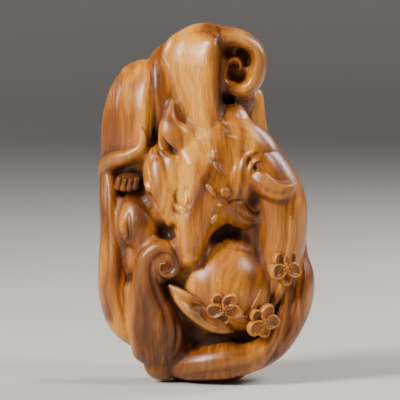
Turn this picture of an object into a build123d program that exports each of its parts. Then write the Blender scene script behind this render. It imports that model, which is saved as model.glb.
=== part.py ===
"""A palm-sized fox carved from one block of boxwood: it sleeps curled among its nine tails.

The real figurine is one piece of wood. Each carved form that stands out from the block is a
solid of its own here. Where two forms meet, one is cut by the other, so they touch face to
face along the carver's grooves.

Frame: +Z up, +X to the right of someone who faces the fox, -Y towards that person. The origin
is the middle of the small flat foot. All sizes are millimetres.

A form's route is a table of rows. Each row holds the place of one section, as (across, depth,
height) shares of the block's half width, half depth and height, then the section's width and
thickness as shares of the form's own.
"""

from build123d import *
import math
import os

os.makedirs("parts", exist_ok=True)

# The block
block_height = 70.0
block_width = 42.0
block_depth = 30.0
half_width = block_width / 2
half_depth = block_depth / 2

TOWARDS_VIEWER = Vector(0, -1, 0)
UP = Vector(0, 0, 1)
RADIAL = "radial"
section_spacing_share = 0.5  # of the width, between two sections of a lock
end_steps = 3  # sections that round each end of a lock
oval_points = 10
scrap_share = 0.05  # of a form's largest solid: cut-off scraps below this are left out

# The hair lines that the carver drew along each lock
hair_line_radius = 0.42
hair_line_tip_share = 0.3
hair_line_tip_rows = 3


def at(across_share, depth_share, height_share):
    """The point of the block at these shares of its half width, half depth and height."""
    return Vector(
        across_share * half_width, depth_share * half_depth, height_share * block_height
    )


def slope(rows, i, item):
    """How fast an item of the rows changes at row i, per length of the route."""
    ahead = behind = None
    if i + 1 < len(rows):
        ahead = (rows[i + 1][0] - rows[i][0]).length
        slope_ahead = (rows[i + 1][item] - rows[i][item]) * (1 / ahead)
    if i > 0:
        behind = (rows[i][0] - rows[i - 1][0]).length
        slope_behind = (rows[i][item] - rows[i - 1][item]) * (1 / behind)
    if ahead is None:
        return slope_behind
    if behind is None:
        return slope_ahead
    return (slope_behind * ahead + slope_ahead * behind) * (1 / (ahead + behind))


def rows_from(shares, width, thickness, heading=None):
    """The route's rows: (point, width, thickness, heading of the route) each.

    Without a heading of its own, a row heads along the route.
    """
    rows = [(at(*row[:3]), width * row[3], thickness * row[4]) for row in shares]
    return [
        row + (slope(rows, i, 0).normalized() if heading is None else heading,)
        for i, row in enumerate(rows)
    ]


def curl(eye, radius, width, thickness, lean, shares):
    """Rows of a curl about its eye: shares holds (angle, radius, width, thickness, lean)."""
    rows = []
    for angle, radius_share, width_share, thickness_share, lean_share in shares:
        turn = math.radians(angle)
        out = radius * radius_share
        centre = eye + Vector(out * math.cos(turn), -lean * lean_share, out * math.sin(turn))
        heading = Vector(math.sin(turn), 0, -math.cos(turn))
        rows.append((centre, width * width_share, thickness * thickness_share, heading))
    return rows


def blend(rows, i, share):
    """The row that lies a share of the way from row i to the next, on a smooth line."""
    gap = (rows[i + 1][0] - rows[i][0]).length
    square, cube = share * share, share * share * share
    return tuple(
        rows[i][item] * (2 * cube - 3 * square + 1)
        + slope(rows, i, item) * (gap * (cube - 2 * square + share))
        + rows[i + 1][item] * (3 * square - 2 * cube)
        + slope(rows, i + 1, item) * (gap * (cube - square))
        for item in range(4)
    )


def station(centre, width, thickness, heading, outward=TOWARDS_VIEWER):
    """One section of a lock: (centre, along, across, front, width, thickness)."""
    along = heading.normalized()
    facing = Vector(centre.X, centre.Y, 0) if outward == RADIAL else outward
    across = along.cross(facing).normalized()
    front = across.cross(along).normalized()
    return centre, along, across, front, width, thickness


def stations_of(rows, outward=TOWARDS_VIEWER):
    """The sections of a lock, close together along its rows."""
    smooth = []
    for i in range(len(rows) - 1):
        gap = (rows[i + 1][0] - rows[i][0]).length
        spacing = section_spacing_share * (rows[i][1] + rows[i + 1][1]) / 2
        count = max(1, round(gap / spacing))
        smooth += [blend(rows, i, step / count) for step in range(count)]
    smooth.append(rows[-1])
    return [station(*row, outward) for row in smooth]


def oval(centre, across, front, width, thickness):
    """An oval section about its centre, drawn as one closed smooth line."""
    points = []
    for number in range(oval_points):
        turn = 2 * math.pi * number / oval_points
        side = across * (width / 2 * math.cos(turn))
        points.append(centre + side + front * (thickness / 2 * math.sin(turn)))
    return make_face(Spline(*points, periodic=True))


def lock(stations, round_end=True):
    """A lock of carved fur: ellipses lofted along its stations, its ends rounded over."""
    sections = []
    for centre, along, across, front, width, thickness in stations:
        sections.append(oval(centre, across, front, width, thickness))
    for end, sign in ((0, -1), (-1, 1)):
        if sign > 0 and not round_end:
            continue
        centre, along, across, front, width, thickness = stations[end]
        reach = min(width, thickness) / 2
        for step in range(1, end_steps + 1):
            turn = math.radians(90) * step / (end_steps + 0.35)
            tip = centre + along * (sign * reach * math.sin(turn))
            size = math.cos(turn)
            cap = oval(tip, across, front, width * size, thickness * size)
            if sign < 0:
                sections.insert(0, cap)
            else:
                sections.append(cap)
    return loft(sections, ruled=True)


def surface_point(station, side_share):
    """The point of a section's front at side_share of its half width, right of its middle."""
    centre, along, across, front, width, thickness = station
    side = across * (width / 2 * side_share)
    return centre + side + front * (thickness / 2 * math.sqrt(1 - side_share ** 2))


def chisel(points, radius):
    """The groove that a round chisel leaves along a row of points, shallow at both ends."""
    last = len(points) - 1
    sections = []
    for i, point in enumerate(points):
        along = (points[min(i + 1, last)] - points[max(i - 1, 0)]).normalized()
        across = along.cross(TOWARDS_VIEWER).normalized()
        front = across.cross(along)
        size = 2 * radius * min(1, hair_line_tip_share + min(i, last - i) / hair_line_tip_rows)
        sections.append(oval(point, across, front, size, size))
    return loft(sections, ruled=True)


def with_hair(form, stations, side_shares, start_share, end_share):
    """The form with one hair line at each of the side shares, along part of its length."""
    first = round(start_share * (len(stations) - 1))
    last = round(end_share * (len(stations) - 1))
    for side_share in side_shares:
        points = [surface_point(row, side_share) for row in stations[first : last + 1]]
        form = form - chisel(points, hair_line_radius)
    return form


def ellipsoid(centre, across, depth, height):
    """A rounded mass from its middle and its three half sizes."""
    return Pos(*centre) * scale(Sphere(1), by=(across, depth, height))


def seat(solids, across_share, height_share):
    """The front point over these shares, and the surface's direction there."""
    start = Vector(across_share * half_width, -block_depth, height_share * block_height)
    line = Axis(start, (0, 1, 0))
    hits = []
    for solid in solids:
        hits += solid.find_intersection_points(line)
    point, normal = min(hits, key=lambda hit: hit[0].Y)
    if normal.Y > 0:
        normal = normal * -1
    return point, normal


def boxes_meet(first, second):
    """Whether the two forms are near enough to meet."""
    a, b = first.bounding_box(), second.bounding_box()
    return (
        a.min.X < b.max.X
        and b.min.X < a.max.X
        and a.min.Y < b.max.Y
        and b.min.Y < a.max.Y
        and a.min.Z < b.max.Z
        and b.min.Z < a.max.Z
    )


def trimmed(form, *larger):
    """The form cut by the larger forms that it meets, without the scraps."""
    for other in larger:
        if boxes_meet(form, other):
            form = form - other
    solids = form.solids()
    largest = max(solid.volume for solid in solids)
    kept = [solid for solid in solids if solid.volume > scrap_share * largest]
    return kept[0] if len(kept) == 1 else Compound(children=kept)


# The block that the forms stand out from: an egg with a small flat foot
core_width = 33.0
core_depth = 22.0
core_height = 52.0
core_middle_place = (0.0, -0.03, 0.343)
core_middle = at(*core_middle_place)
core = ellipsoid(core_middle, core_width / 2, core_depth / 2, core_height / 2)
below = Box(block_width, block_depth, core_height, align=(Align.CENTER, Align.CENTER, Align.MAX))
core -= below

# The back: neck, shoulder and rump in one long arch down the right side
back_width = 9.4
back_thickness = 19.0
back_shares = (
    (0.02, -0.13, 0.705, 0.62, 0.62),
    (0.28, -0.15, 0.672, 0.86, 0.80),
    (0.52, -0.15, 0.607, 0.96, 0.94),
    (0.67, -0.13, 0.521, 1.0, 1.0),
    (0.72, -0.13, 0.43, 0.94, 1.0),
    (0.69, -0.13, 0.343, 0.88, 0.95),
    (0.60, -0.13, 0.27, 0.75, 0.84),
)
back = lock(stations_of(rows_from(back_shares, back_width, back_thickness)))

# The haunch: a smooth dome under the fox's chin
haunch_width = 18.0
haunch_depth = 17.6
haunch_height = 19.8
haunch_place = (0.19, -0.37, 0.264)
haunch = ellipsoid(at(*haunch_place), haunch_width / 2, haunch_depth / 2, haunch_height / 2)

# The head, bowed and turned a little to the right
head_width = 20.8
head_thickness = 13.0
head_outward = Vector(0.475, -0.877, 0.058)
head_heading = Vector(-0.35, -0.25, -0.90).normalized()
head_shares = (
    (0.22, -0.24, 0.709, 0.38, 0.46),
    (0.162, -0.32, 0.671, 0.67, 0.77),
    (0.095, -0.387, 0.631, 0.89, 0.95),
    (0.0, -0.46, 0.581, 1.0, 1.0),
    (-0.07, -0.533, 0.529, 0.985, 0.92),
    (-0.095, -0.613, 0.48, 0.72, 0.74),
    (-0.11, -0.693, 0.429, 0.41, 0.57),
    (-0.124, -0.767, 0.386, 0.28, 0.45),
    (-0.133, -0.813, 0.351, 0.21, 0.35),
)
head_stations = stations_of(
    rows_from(head_shares, head_width, head_thickness, head_heading), head_outward
)
head = lock(head_stations)

# Tail 1: rises behind the head to a domed top
tail_top_width = 9.8
tail_top_thickness = 17.0
tail_top_shares = (
    (0.0, 0.40, 0.20, 0.8, 0.6),
    (-0.05, 0.30, 0.34, 0.95, 0.85),
    (-0.08, 0.17, 0.46, 1.0, 1.0),
    (-0.10, 0.03, 0.57, 0.98, 1.0),
    (-0.10, -0.06, 0.685, 0.98, 1.0),
    (-0.10, -0.10, 0.78, 1.0, 0.92),
    (-0.11, -0.13, 0.85, 1.03, 0.84),
    (-0.12, -0.147, 0.893, 1.1, 0.78),
    (-0.128, -0.153, 0.928, 1.17, 0.71),
    (-0.095, -0.16, 0.954, 1.08, 0.61),
    (-0.048, -0.16, 0.974, 0.88, 0.47),
    (-0.02, -0.16, 0.987, 0.63, 0.33),
    (-0.005, -0.16, 0.994, 0.37, 0.19),
    (0.0, -0.16, 0.997, 0.12, 0.06),
)
tail_top_stations = stations_of(
    rows_from(tail_top_shares, tail_top_width, tail_top_thickness, UP)
)
tail_top = lock(tail_top_stations, round_end=False)

# The end of tail 1: goes over to the right and winds into the open curl
trunk_gap = 0.35  # between the trunk and the curl's inmost turn
top_curl_radius = 5.8
top_curl_width = 4.6
top_curl_thickness = 10.5
top_curl_lean = 0.8
top_curl_place = (0.0, -0.19, 0.872)
curl_web_size = 9.4  # the thin wood that closes the curl's hollow at the back
curl_web_thickness = 3.0
curl_web_back = 2.6  # behind the eye of the curl
# (angle, radius, width, thickness, lean)
top_curl_shares = (
    (130, 1.25, 1.15, 0.95, 0.0),
    (110, 1.08, 1.09, 1.0, 0.0),
    (92, 1.0, 1.0, 1.0, 0.0),
    (70, 0.93, 0.85, 0.95, 0.0),
    (48, 0.88, 0.74, 0.9, 0.05),
    (25, 0.82, 0.65, 0.87, 0.1),
    (2, 0.77, 0.61, 0.84, 0.15),
    (-20, 0.76, 0.65, 0.82, 0.2),
    (-43, 0.75, 0.72, 0.8, 0.25),
    (-65, 0.73, 0.76, 0.76, 0.3),
    (-87, 0.68, 0.76, 0.72, 0.35),
    (-112, 0.55, 0.61, 0.64, 0.4),
    (-137, 0.40, 0.44, 0.56, 0.5),
    (-165, 0.31, 0.33, 0.5, 0.6),
    (-193, 0.27, 0.27, 0.45, 0.7),
    (-222, 0.27, 0.24, 0.4, 0.8),
    (-250, 0.28, 0.22, 0.37, 0.9),
    (-280, 0.27, 0.21, 0.34, 1.0),
    (-310, 0.19, 0.17, 0.3, 1.0),
)
top_curl_inmost_share = 0.43  # of its radius, from the eye to the inmost turn's left side
trunk_middle_share = -0.10
trunk_side = trunk_middle_share * half_width + tail_top_width / 2
top_eye = at(*top_curl_place) + Vector(
    trunk_side + trunk_gap + top_curl_radius * top_curl_inmost_share, 0, 0
)
top_curl_stations = stations_of(
    curl(
        top_eye,
        top_curl_radius,
        top_curl_width,
        top_curl_thickness,
        top_curl_lean,
        top_curl_shares,
    )
)
top_curl = lock(top_curl_stations)
top_curl += ellipsoid(
    top_eye - TOWARDS_VIEWER * curl_web_back,
    curl_web_size / 2,
    curl_web_thickness / 2,
    curl_web_size / 2,
)

# Tail 2: the broad one at the upper left
tail_upper_left_width = 10.4
tail_upper_left_thickness = 12.0
tail_upper_left_shares = (
    (-0.38, 0.47, 0.186, 0.7, 0.6),
    (-0.52, 0.40, 0.33, 0.85, 0.8),
    (-0.64, 0.23, 0.47, 0.95, 1.0),
    (-0.72, 0.03, 0.586, 1.0, 1.0),
    (-0.733, -0.07, 0.686, 1.0, 1.0),
    (-0.71, -0.10, 0.771, 0.93, 0.94),
    (-0.68, -0.10, 0.821, 0.82, 0.82),
    (-0.65, -0.09, 0.853, 0.68, 0.66),
    (-0.62, -0.07, 0.878, 0.49, 0.46),
    (-0.598, -0.06, 0.889, 0.3, 0.28),
    (-0.585, -0.06, 0.894, 0.1, 0.1),
)
tail_upper_left_stations = stations_of(
    rows_from(tail_upper_left_shares, tail_upper_left_width, tail_upper_left_thickness, UP)
)
tail_upper_left = lock(tail_upper_left_stations, round_end=False)

# Tail 3: the narrow one between them
tail_between_width = 4.6
tail_between_thickness = 13.0
tail_between_shares = (
    (-0.24, 0.53, 0.286, 0.8, 0.4),
    (-0.357, 0.50, 0.47, 1.0, 0.6),
    (-0.41, 0.27, 0.63, 1.0, 0.8),
    (-0.42, -0.03, 0.757, 1.0, 1.0),
    (-0.42, -0.05, 0.83, 1.1, 0.92),
    (-0.425, -0.03, 0.88, 1.2, 0.7),
    (-0.43, -0.02, 0.905, 0.98, 0.42),
    (-0.43, -0.02, 0.915, 0.6, 0.25),
    (-0.43, -0.02, 0.919, 0.2, 0.1),
)
tail_between_stations = stations_of(
    rows_from(tail_between_shares, tail_between_width, tail_between_thickness, UP)
)
tail_between = lock(tail_between_stations, round_end=False)

# Tail 4: comes round the left side and ends in a small hook
tail_hook_width = 3.8
tail_hook_thickness = 3.6
tail_hook_shares = (
    (-0.60, 0.70, 0.386, 1.0, 1.0),
    (-0.82, 0.50, 0.49, 1.0, 1.0),
    (-0.93, 0.14, 0.57, 1.0, 1.0),
    (-0.933, -0.17, 0.60, 0.95, 0.95),
    (-0.85, -0.42, 0.62, 0.85, 0.85),
    (-0.71, -0.57, 0.634, 0.7, 0.7),
    (-0.605, -0.62, 0.659, 0.5, 0.5),
    (-0.59, -0.62, 0.689, 0.35, 0.35),
    (-0.614, -0.61, 0.706, 0.15, 0.15),
)
tail_hook = lock(
    stations_of(rows_from(tail_hook_shares, tail_hook_width, tail_hook_thickness), RADIAL)
)

# Tail 5: down the lower left side
tail_lower_left_width = 6.6
tail_lower_left_thickness = 13.0
tail_lower_left_shares = (
    (-0.905, 0.0, 0.586, 0.58, 0.7),
    (-0.90, -0.08, 0.50, 0.6, 0.8),
    (-0.89, -0.13, 0.40, 0.62, 0.9),
    (-0.867, -0.17, 0.314, 0.9, 1.0),
    (-0.843, -0.19, 0.243, 1.0, 1.0),
    (-0.752, -0.17, 0.164, 0.95, 0.9),
    (-0.57, -0.13, 0.107, 0.6, 0.7),
)
tail_lower_left_stations = stations_of(
    rows_from(tail_lower_left_shares, tail_lower_left_width, tail_lower_left_thickness)
)
tail_lower_left = lock(tail_lower_left_stations)

# Tail 6: swells up from the foot at the lower left and ends in the tight curl
tail_curled_width = 10.4
tail_curled_thickness = 8.0
tail_curled_shares = (
    (-0.41, -0.33, 0.05, 0.7, 0.78),
    (-0.43, -0.38, 0.067, 0.92, 0.9),
    (-0.445, -0.45, 0.09, 1.01, 1.0),
    (-0.452, -0.54, 0.125, 1.01, 1.0),
    (-0.465, -0.60, 0.168, 0.96, 0.96),
    (-0.49, -0.62, 0.21, 0.86, 0.9),
    (-0.54, -0.65, 0.26, 0.67, 0.8),
)
low_curl_radius = 3.7
low_curl_width = 4.2
low_curl_thickness = 5.4
low_curl_lean = 1.6
low_curl_place = (-0.376, -0.70, 0.334)
# (angle, radius, width, thickness, lean)
low_curl_shares = (
    (203, 1.15, 1.3, 1.0, -0.1),
    (155, 1.03, 1.0, 0.95, 0.1),
    (110, 0.97, 0.8, 0.9, 0.3),
    (69, 0.82, 0.68, 0.8, 0.45),
)
knob_radius = 2.85
knob_lean = 0.9
spiral_turns = 1.55
spiral_start_angle = 200
spiral_steps = 26
spiral_start_share = 0.78
spiral_end_share = 0.1
spiral_groove_radius = 0.4
low_eye = at(*low_curl_place)
tail_curled_rows = rows_from(tail_curled_shares, tail_curled_width, tail_curled_thickness, UP)
tail_curled_rows += curl(
    low_eye, low_curl_radius, low_curl_width, low_curl_thickness, low_curl_lean, low_curl_shares
)
tail_curled_stations = stations_of(tail_curled_rows)
knob_middle = low_eye + TOWARDS_VIEWER * knob_lean
tail_curled = lock(tail_curled_stations) + Pos(*knob_middle) * Sphere(knob_radius)
spiral = []
for step in range(spiral_steps + 1):
    done = step / spiral_steps
    turn = math.radians(spiral_start_angle - 360 * spiral_turns * done)
    out_share = spiral_start_share + (spiral_end_share - spiral_start_share) * done
    out = knob_radius * out_share
    front = knob_radius * math.sqrt(1 - out_share ** 2)
    spiral.append(
        knob_middle + Vector(out * math.cos(turn), 0, out * math.sin(turn)) + TOWARDS_VIEWER * front
    )
tail_curled -= chisel(spiral, spiral_groove_radius)

# Tail 7: sweeps along the bottom and up to a point under the flowers
tail_bottom_width = 7.0
tail_bottom_thickness = 8.0
tail_bottom_shares = (
    (-0.26, -0.31, 0.05, 0.8, 0.85),
    (-0.14, -0.42, 0.053, 0.9, 0.95),
    (0.024, -0.53, 0.06, 0.95, 1.0),
    (0.214, -0.587, 0.069, 1.0, 1.0),
    (0.395, -0.587, 0.079, 0.85, 0.95),
    (0.538, -0.553, 0.109, 0.62, 0.8),
    (0.633, -0.507, 0.157, 0.46, 0.6),
    (0.69, -0.467, 0.209, 0.32, 0.45),
    (0.724, -0.433, 0.263, 0.14, 0.2),
)
tail_bottom_stations = stations_of(
    rows_from(tail_bottom_shares, tail_bottom_width, tail_bottom_thickness)
)
tail_bottom = lock(tail_bottom_stations)

# Tail 8: the outer one on the right
tail_right_width = 5.8
tail_right_thickness = 13.0
tail_right_shares = (
    (0.143, -0.07, 0.051, 0.9, 0.8),
    (0.38, -0.10, 0.06, 0.95, 0.9),
    (0.61, -0.12, 0.097, 0.95, 1.0),
    (0.771, -0.127, 0.164, 0.95, 1.0),
    (0.857, -0.127, 0.236, 0.95, 0.95),
    (0.876, -0.133, 0.297, 0.85, 0.8),
    (0.871, -0.147, 0.35, 0.5, 0.5),
    (0.90, -0.153, 0.406, 0.14, 0.14),
)
tail_right_stations = stations_of(
    rows_from(tail_right_shares, tail_right_width, tail_right_thickness)
)
tail_right = lock(tail_right_stations)

# Tail 9: up the back on the right, its rounded end showing behind the open curl
tail_back_width = 8.8
tail_back_thickness = 9.0
tail_back_shares = (
    (0.24, 0.47, 0.17, 0.8, 0.8),
    (0.38, 0.533, 0.30, 1.0, 1.0),
    (0.45, 0.52, 0.443, 1.0, 1.0),
    (0.44, 0.453, 0.586, 1.0, 0.95),
    (0.38, 0.347, 0.693, 0.94, 0.88),
    (0.365, 0.29, 0.742, 0.88, 0.78),
    (0.37, 0.26, 0.772, 0.76, 0.64),
    (0.385, 0.25, 0.793, 0.56, 0.47),
    (0.405, 0.24, 0.805, 0.32, 0.27),
    (0.41, 0.24, 0.81, 0.1, 0.1),
)
tail_back_stations = stations_of(
    rows_from(tail_back_shares, tail_back_width, tail_back_thickness, UP)
)
tail_back = lock(tail_back_stations, round_end=False)

# The fur of the cheek, swept back beside the face
cheek_width = 6.2
cheek_thickness = 6.0
cheek_shares = (
    (-0.40, -0.42, 0.66, 0.35, 0.5),
    (-0.45, -0.46, 0.625, 0.75, 0.9),
    (-0.445, -0.50, 0.58, 1.0, 1.0),
    (-0.41, -0.54, 0.535, 0.9, 1.0),
    (-0.36, -0.58, 0.49, 0.62, 0.8),
    (-0.31, -0.61, 0.455, 0.25, 0.4),
)
cheek_stations = stations_of(rows_from(cheek_shares, cheek_width, cheek_thickness))
cheek = lock(cheek_stations)

# The ear at the left, drawn up to a flame-like tip
left_ear_width = 5.6
left_ear_thickness = 3.8
left_ear_shares = (
    (-0.27, -0.573, 0.637, 0.8, 0.95),
    (-0.315, -0.613, 0.671, 1.0, 1.0),
    (-0.33, -0.627, 0.70, 0.9, 0.85),
    (-0.33, -0.613, 0.723, 0.6, 0.63),
    (-0.315, -0.593, 0.746, 0.36, 0.47),
    (-0.31, -0.573, 0.769, 0.21, 0.32),
    (-0.324, -0.553, 0.786, 0.11, 0.18),
)
left_ear = lock(stations_of(rows_from(left_ear_shares, left_ear_width, left_ear_thickness)))

# The ear at the right, folded back along the neck
right_ear_width = 4.6
right_ear_thickness = 4.2
right_ear_shares = (
    (0.47, -0.60, 0.596, 1.0, 0.9),
    (0.548, -0.70, 0.566, 0.9, 1.0),
    (0.643, -0.76, 0.539, 0.72, 0.85),
    (0.729, -0.78, 0.531, 0.5, 0.6),
    (0.785, -0.76, 0.553, 0.2, 0.3),
)
right_ear = lock(stations_of(rows_from(right_ear_shares, right_ear_width, right_ear_thickness)))

# The lower leg: a long oval beside the cheek
lower_leg_width = 6.2
lower_leg_thickness = 6.0
lower_leg_shares = (
    (-0.67, -0.44, 0.50, 0.72, 0.8),
    (-0.662, -0.52, 0.471, 0.94, 1.0),
    (-0.643, -0.573, 0.434, 0.94, 1.0),
    (-0.614, -0.573, 0.40, 0.74, 0.9),
    (-0.586, -0.56, 0.371, 0.45, 0.7),
)
lower_leg = lock(stations_of(rows_from(lower_leg_shares, lower_leg_width, lower_leg_thickness)))

# The paw: four toes tucked under the hooked tail
toe_width = 1.35
toe_length = 3.6
toe_thickness = 2.2
paw_pad_width = 6.4
paw_pad_depth = 5.0
paw_pad_height = 4.4
paw_pad_place = (-0.69, -0.49, 0.571)
toe_places = (
    (-0.819, -0.573, 0.56),
    (-0.767, -0.62, 0.556),
    (-0.714, -0.64, 0.554),
    (-0.66, -0.64, 0.557),
)
toe_lean = Vector(-0.22, 0.05, -1).normalized()
paw = ellipsoid(at(*paw_pad_place), paw_pad_width / 2, paw_pad_depth / 2, paw_pad_height / 2)
for place in toe_places:
    middle = at(*place)
    reach = toe_lean * ((toe_length - toe_width) / 2)
    toe_rows = [(middle + reach * end, toe_width, toe_thickness, toe_lean) for end in (-1, 0, 1)]
    paw += lock(stations_of(toe_rows))

# The leaf at the foot of the branch
leaf_width = 4.4
leaf_thickness = 5.6
leaf_shares = (
    (-0.343, -0.70, 0.277, 0.35, 0.6),
    (-0.214, -0.733, 0.243, 0.78, 0.95),
    (-0.07, -0.747, 0.211, 1.0, 1.0),
    (0.057, -0.74, 0.18, 0.86, 0.95),
    (0.162, -0.70, 0.16, 0.48, 0.7),
    (0.224, -0.66, 0.149, 0.15, 0.4),
)
leaf = lock(stations_of(rows_from(leaf_shares, leaf_width, leaf_thickness)))

# The branch round the haunch, with one twig: straight lengths from knot to knot
branch_width = 1.9
branch_sink = 0.25  # its middle line behind the surface that it follows
# (across, height, width)
branch_shares = (
    (0.22, 0.197, 0.85),
    (0.34, 0.187, 1.0),
    (0.46, 0.193, 1.04),
    (0.59, 0.223, 0.98),
    (0.676, 0.267, 0.92),
    (0.724, 0.32, 0.84),
    (0.742, 0.36, 0.7),
    (0.776, 0.42, 0.55),
    (0.766, 0.466, 0.3),
)
twig_shares = (
    (0.34, 0.187, 0.85),
    (0.43, 0.222, 0.75),
    (0.495, 0.266, 0.35),
)


def branch_over(shares, solids):
    """A branch that follows the front of the solids from knot to knot."""
    knots = []
    for across_share, height_share, width_share in shares:
        point, normal = seat(solids, across_share, height_share)
        knots.append((point - normal * branch_sink, branch_width * width_share, 0))
    sections = [
        station(point, width, width, slope(knots, i, 0)) for i, (point, width, _) in enumerate(knots)
    ]
    return lock(sections)


branch_bed = [core, back, haunch, tail_bottom]
branch = branch_over(branch_shares, branch_bed) + branch_over(twig_shares, branch_bed)

# The three plum blossoms: five bowl-shaped petals about a boss, each on a short stalk
petal_radius = 1.42
petal_hollow_radius = 1.08
petal_hollow_forward = 0.25
petal_ring_radius = 2.2
boss_radius = 0.8
stalk_radius = 2.2
stalk_end_radius = 1.1
stalk_length = 5.0
stalk_sink = 0.9


def blossom(centre, facing, first_angle):
    """A blossom whose petals open in the direction facing."""
    whole = Pos(0, 0, -petal_radius + boss_radius) * Sphere(boss_radius)
    whole += Pos(0, 0, -stalk_sink - stalk_length / 2) * Cone(
        stalk_end_radius, stalk_radius, stalk_length
    )
    for number in range(5):
        turn = math.radians(first_angle + 72 * number)
        place = Pos(petal_ring_radius * math.cos(turn), petal_ring_radius * math.sin(turn), 0)
        bowl = Sphere(
            petal_radius, arc_size1=-90, arc_size2=0, align=(Align.CENTER, Align.CENTER, Align.MAX)
        )
        hollow = Pos(0, 0, petal_hollow_forward) * Sphere(petal_hollow_radius)
        whole += place * (bowl - hollow)
    return Plane(origin=centre, x_dir=(1, 0, 0), z_dir=facing) * whole


left_blossom_place = (0.157, -0.99, 0.219)
middle_blossom_place = (0.524, -0.86, 0.18)
right_blossom_place = (0.733, -0.80, 0.329)
left_blossom = blossom(at(*left_blossom_place), Vector(0, -0.95, -0.3), 53)
middle_blossom = blossom(at(*middle_blossom_place), Vector(0.3, -0.92, -0.25), 60)
right_blossom = blossom(at(*right_blossom_place), Vector(0.4, -0.9, 0.1), 60)

# The closed eye
eyelid_length = 4.6
eyelid_width = 2.0
eyelid_height = 2.0
eyelid_share = (-0.209, 0.519)
eyelid_lean = Vector(0.42, 0, -0.9)


def on_surface(solid, place, lean, length, width, height):
    """An oval bump on the front of a solid, its length laid along lean."""
    point, normal = seat([solid], *place)
    across = (lean - normal * lean.dot(normal)).normalized()
    bump = scale(Sphere(1), by=(length / 2, width / 2, height / 2))
    return Plane(origin=point, x_dir=across, z_dir=normal) * bump


eyelid = on_surface(head, eyelid_share, eyelid_lean, eyelid_length, eyelid_width, eyelid_height)

# The nose
nose_length = 2.6
nose_width = 2.4
nose_height = 1.6
nose_share = (-0.128, 0.349)
nose = on_surface(head, nose_share, Vector(1, 0, 0), nose_length, nose_width, nose_height)

# The flower mark on the forehead: five small raised petals
# (across, height, lean across, lean up, length, width)
mark_petal_length = 3.0
mark_petal_width = 2.4
mark_petal_height = 1.2
mark_shares = (
    (0.033, 0.541, 0.6, -0.8, 1.15, 0.55),
    (0.171, 0.536, 1.0, -0.15, 0.95, 1.0),
    (0.262, 0.5086, 1.0, 0.0, 1.0, 0.42),
    (0.114, 0.503, 1.0, 0.3, 0.42, 0.42),
    (0.057, 0.464, 0.35, 0.9, 0.85, 0.5),
)
mark = None
for across_share, height_share, lean_across, lean_up, length_share, width_share in mark_shares:
    petal = on_surface(
        head,
        (across_share, height_share),
        Vector(lean_across, 0, lean_up),
        mark_petal_length * length_share,
        mark_petal_width * width_share,
        mark_petal_height,
    )
    mark = petal if mark is None else mark + petal

# The carver's lines
ear_slit_radius = 0.5
ear_slit_shares = ((-0.447, 0.69), (-0.43, 0.672), (-0.395, 0.66), (-0.348, 0.65), (-0.29, 0.645))
ear_slit = chisel([seat([head, left_ear], *place)[0] for place in ear_slit_shares], ear_slit_radius)

# The forms as they stand in the block, the ones that cut the others first
forms = {
    "body_block": core,
    "tail_top": tail_top,
    "tail_top_curl": top_curl,
    "tail_upper_left": tail_upper_left,
    "tail_back": tail_back,
    "tail_between": tail_between,
    "back": back,
    "haunch": haunch,
    "head": head,
    "tail_lower_left": tail_lower_left,
    "tail_curled": tail_curled,
    "tail_bottom": tail_bottom,
    "tail_right": tail_right,
    "tail_hook": tail_hook,
    "lower_leg": lower_leg,
    "cheek_fur": cheek,
    "paw": paw,
    "left_ear": left_ear,
    "right_ear": right_ear,
    "leaf": leaf,
    "branch": branch,
    "left_blossom": left_blossom,
    "middle_blossom": middle_blossom,
    "right_blossom": right_blossom,
    "eyelid": eyelid,
    "nose": nose,
    "forehead_mark": mark,
}
# (stations, side shares of the lines, where they start and end along the lock)
hair = {
    "tail_upper_left": (tail_upper_left_stations, (-0.5, 0.2, 0.6), 0.35, 0.85),
    "tail_lower_left": (tail_lower_left_stations, (-0.2, 0.4), 0.15, 0.9),
    "tail_curled": (tail_curled_stations, (-0.45, 0.0, 0.45), 0.15, 0.7),
    "tail_bottom": (tail_bottom_stations, (-0.25, 0.3), 0.2, 0.85),
    "tail_right": (tail_right_stations, (0.0,), 0.3, 0.9),
}
larger = []
for name, form in forms.items():
    piece = trimmed(form, *larger)
    if name in hair:
        piece = with_hair(piece, *hair[name])
    if name in ("head", "left_ear"):
        piece -= ear_slit
    export_step(piece, f"parts/{name}.step")
    larger.append(form)
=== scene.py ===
"""A palm-sized fox carved from one block of polished boxwood, asleep among its nine tails."""

import math

import bmesh
import bpy
import numpy as np
from mathutils import Matrix, Vector
from mathutils.bvhtree import BVHTree


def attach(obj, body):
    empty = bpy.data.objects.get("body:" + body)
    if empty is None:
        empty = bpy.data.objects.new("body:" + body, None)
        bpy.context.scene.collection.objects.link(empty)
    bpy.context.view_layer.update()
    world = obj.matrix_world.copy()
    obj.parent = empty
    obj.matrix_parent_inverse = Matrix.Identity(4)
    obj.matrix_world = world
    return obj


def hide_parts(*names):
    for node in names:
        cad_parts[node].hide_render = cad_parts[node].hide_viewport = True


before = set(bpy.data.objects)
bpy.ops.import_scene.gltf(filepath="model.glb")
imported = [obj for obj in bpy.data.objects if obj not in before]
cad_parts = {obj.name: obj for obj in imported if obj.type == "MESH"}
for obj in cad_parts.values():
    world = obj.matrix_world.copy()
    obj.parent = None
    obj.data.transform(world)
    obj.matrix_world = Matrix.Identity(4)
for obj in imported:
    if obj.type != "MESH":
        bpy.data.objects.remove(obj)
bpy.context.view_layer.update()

# The block between the carved forms, an egg of boxwood.
# It is what is left of the blank, rough, and darkened down in the deepest grooves by painted shade and
# dirt.
# Its lowest point is sanded to a small flat foot.
mm = 0.001
weld = 0.004  # vertices nearer than this, in millimetres, are one
carved = []  # every piece of the carving


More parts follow.
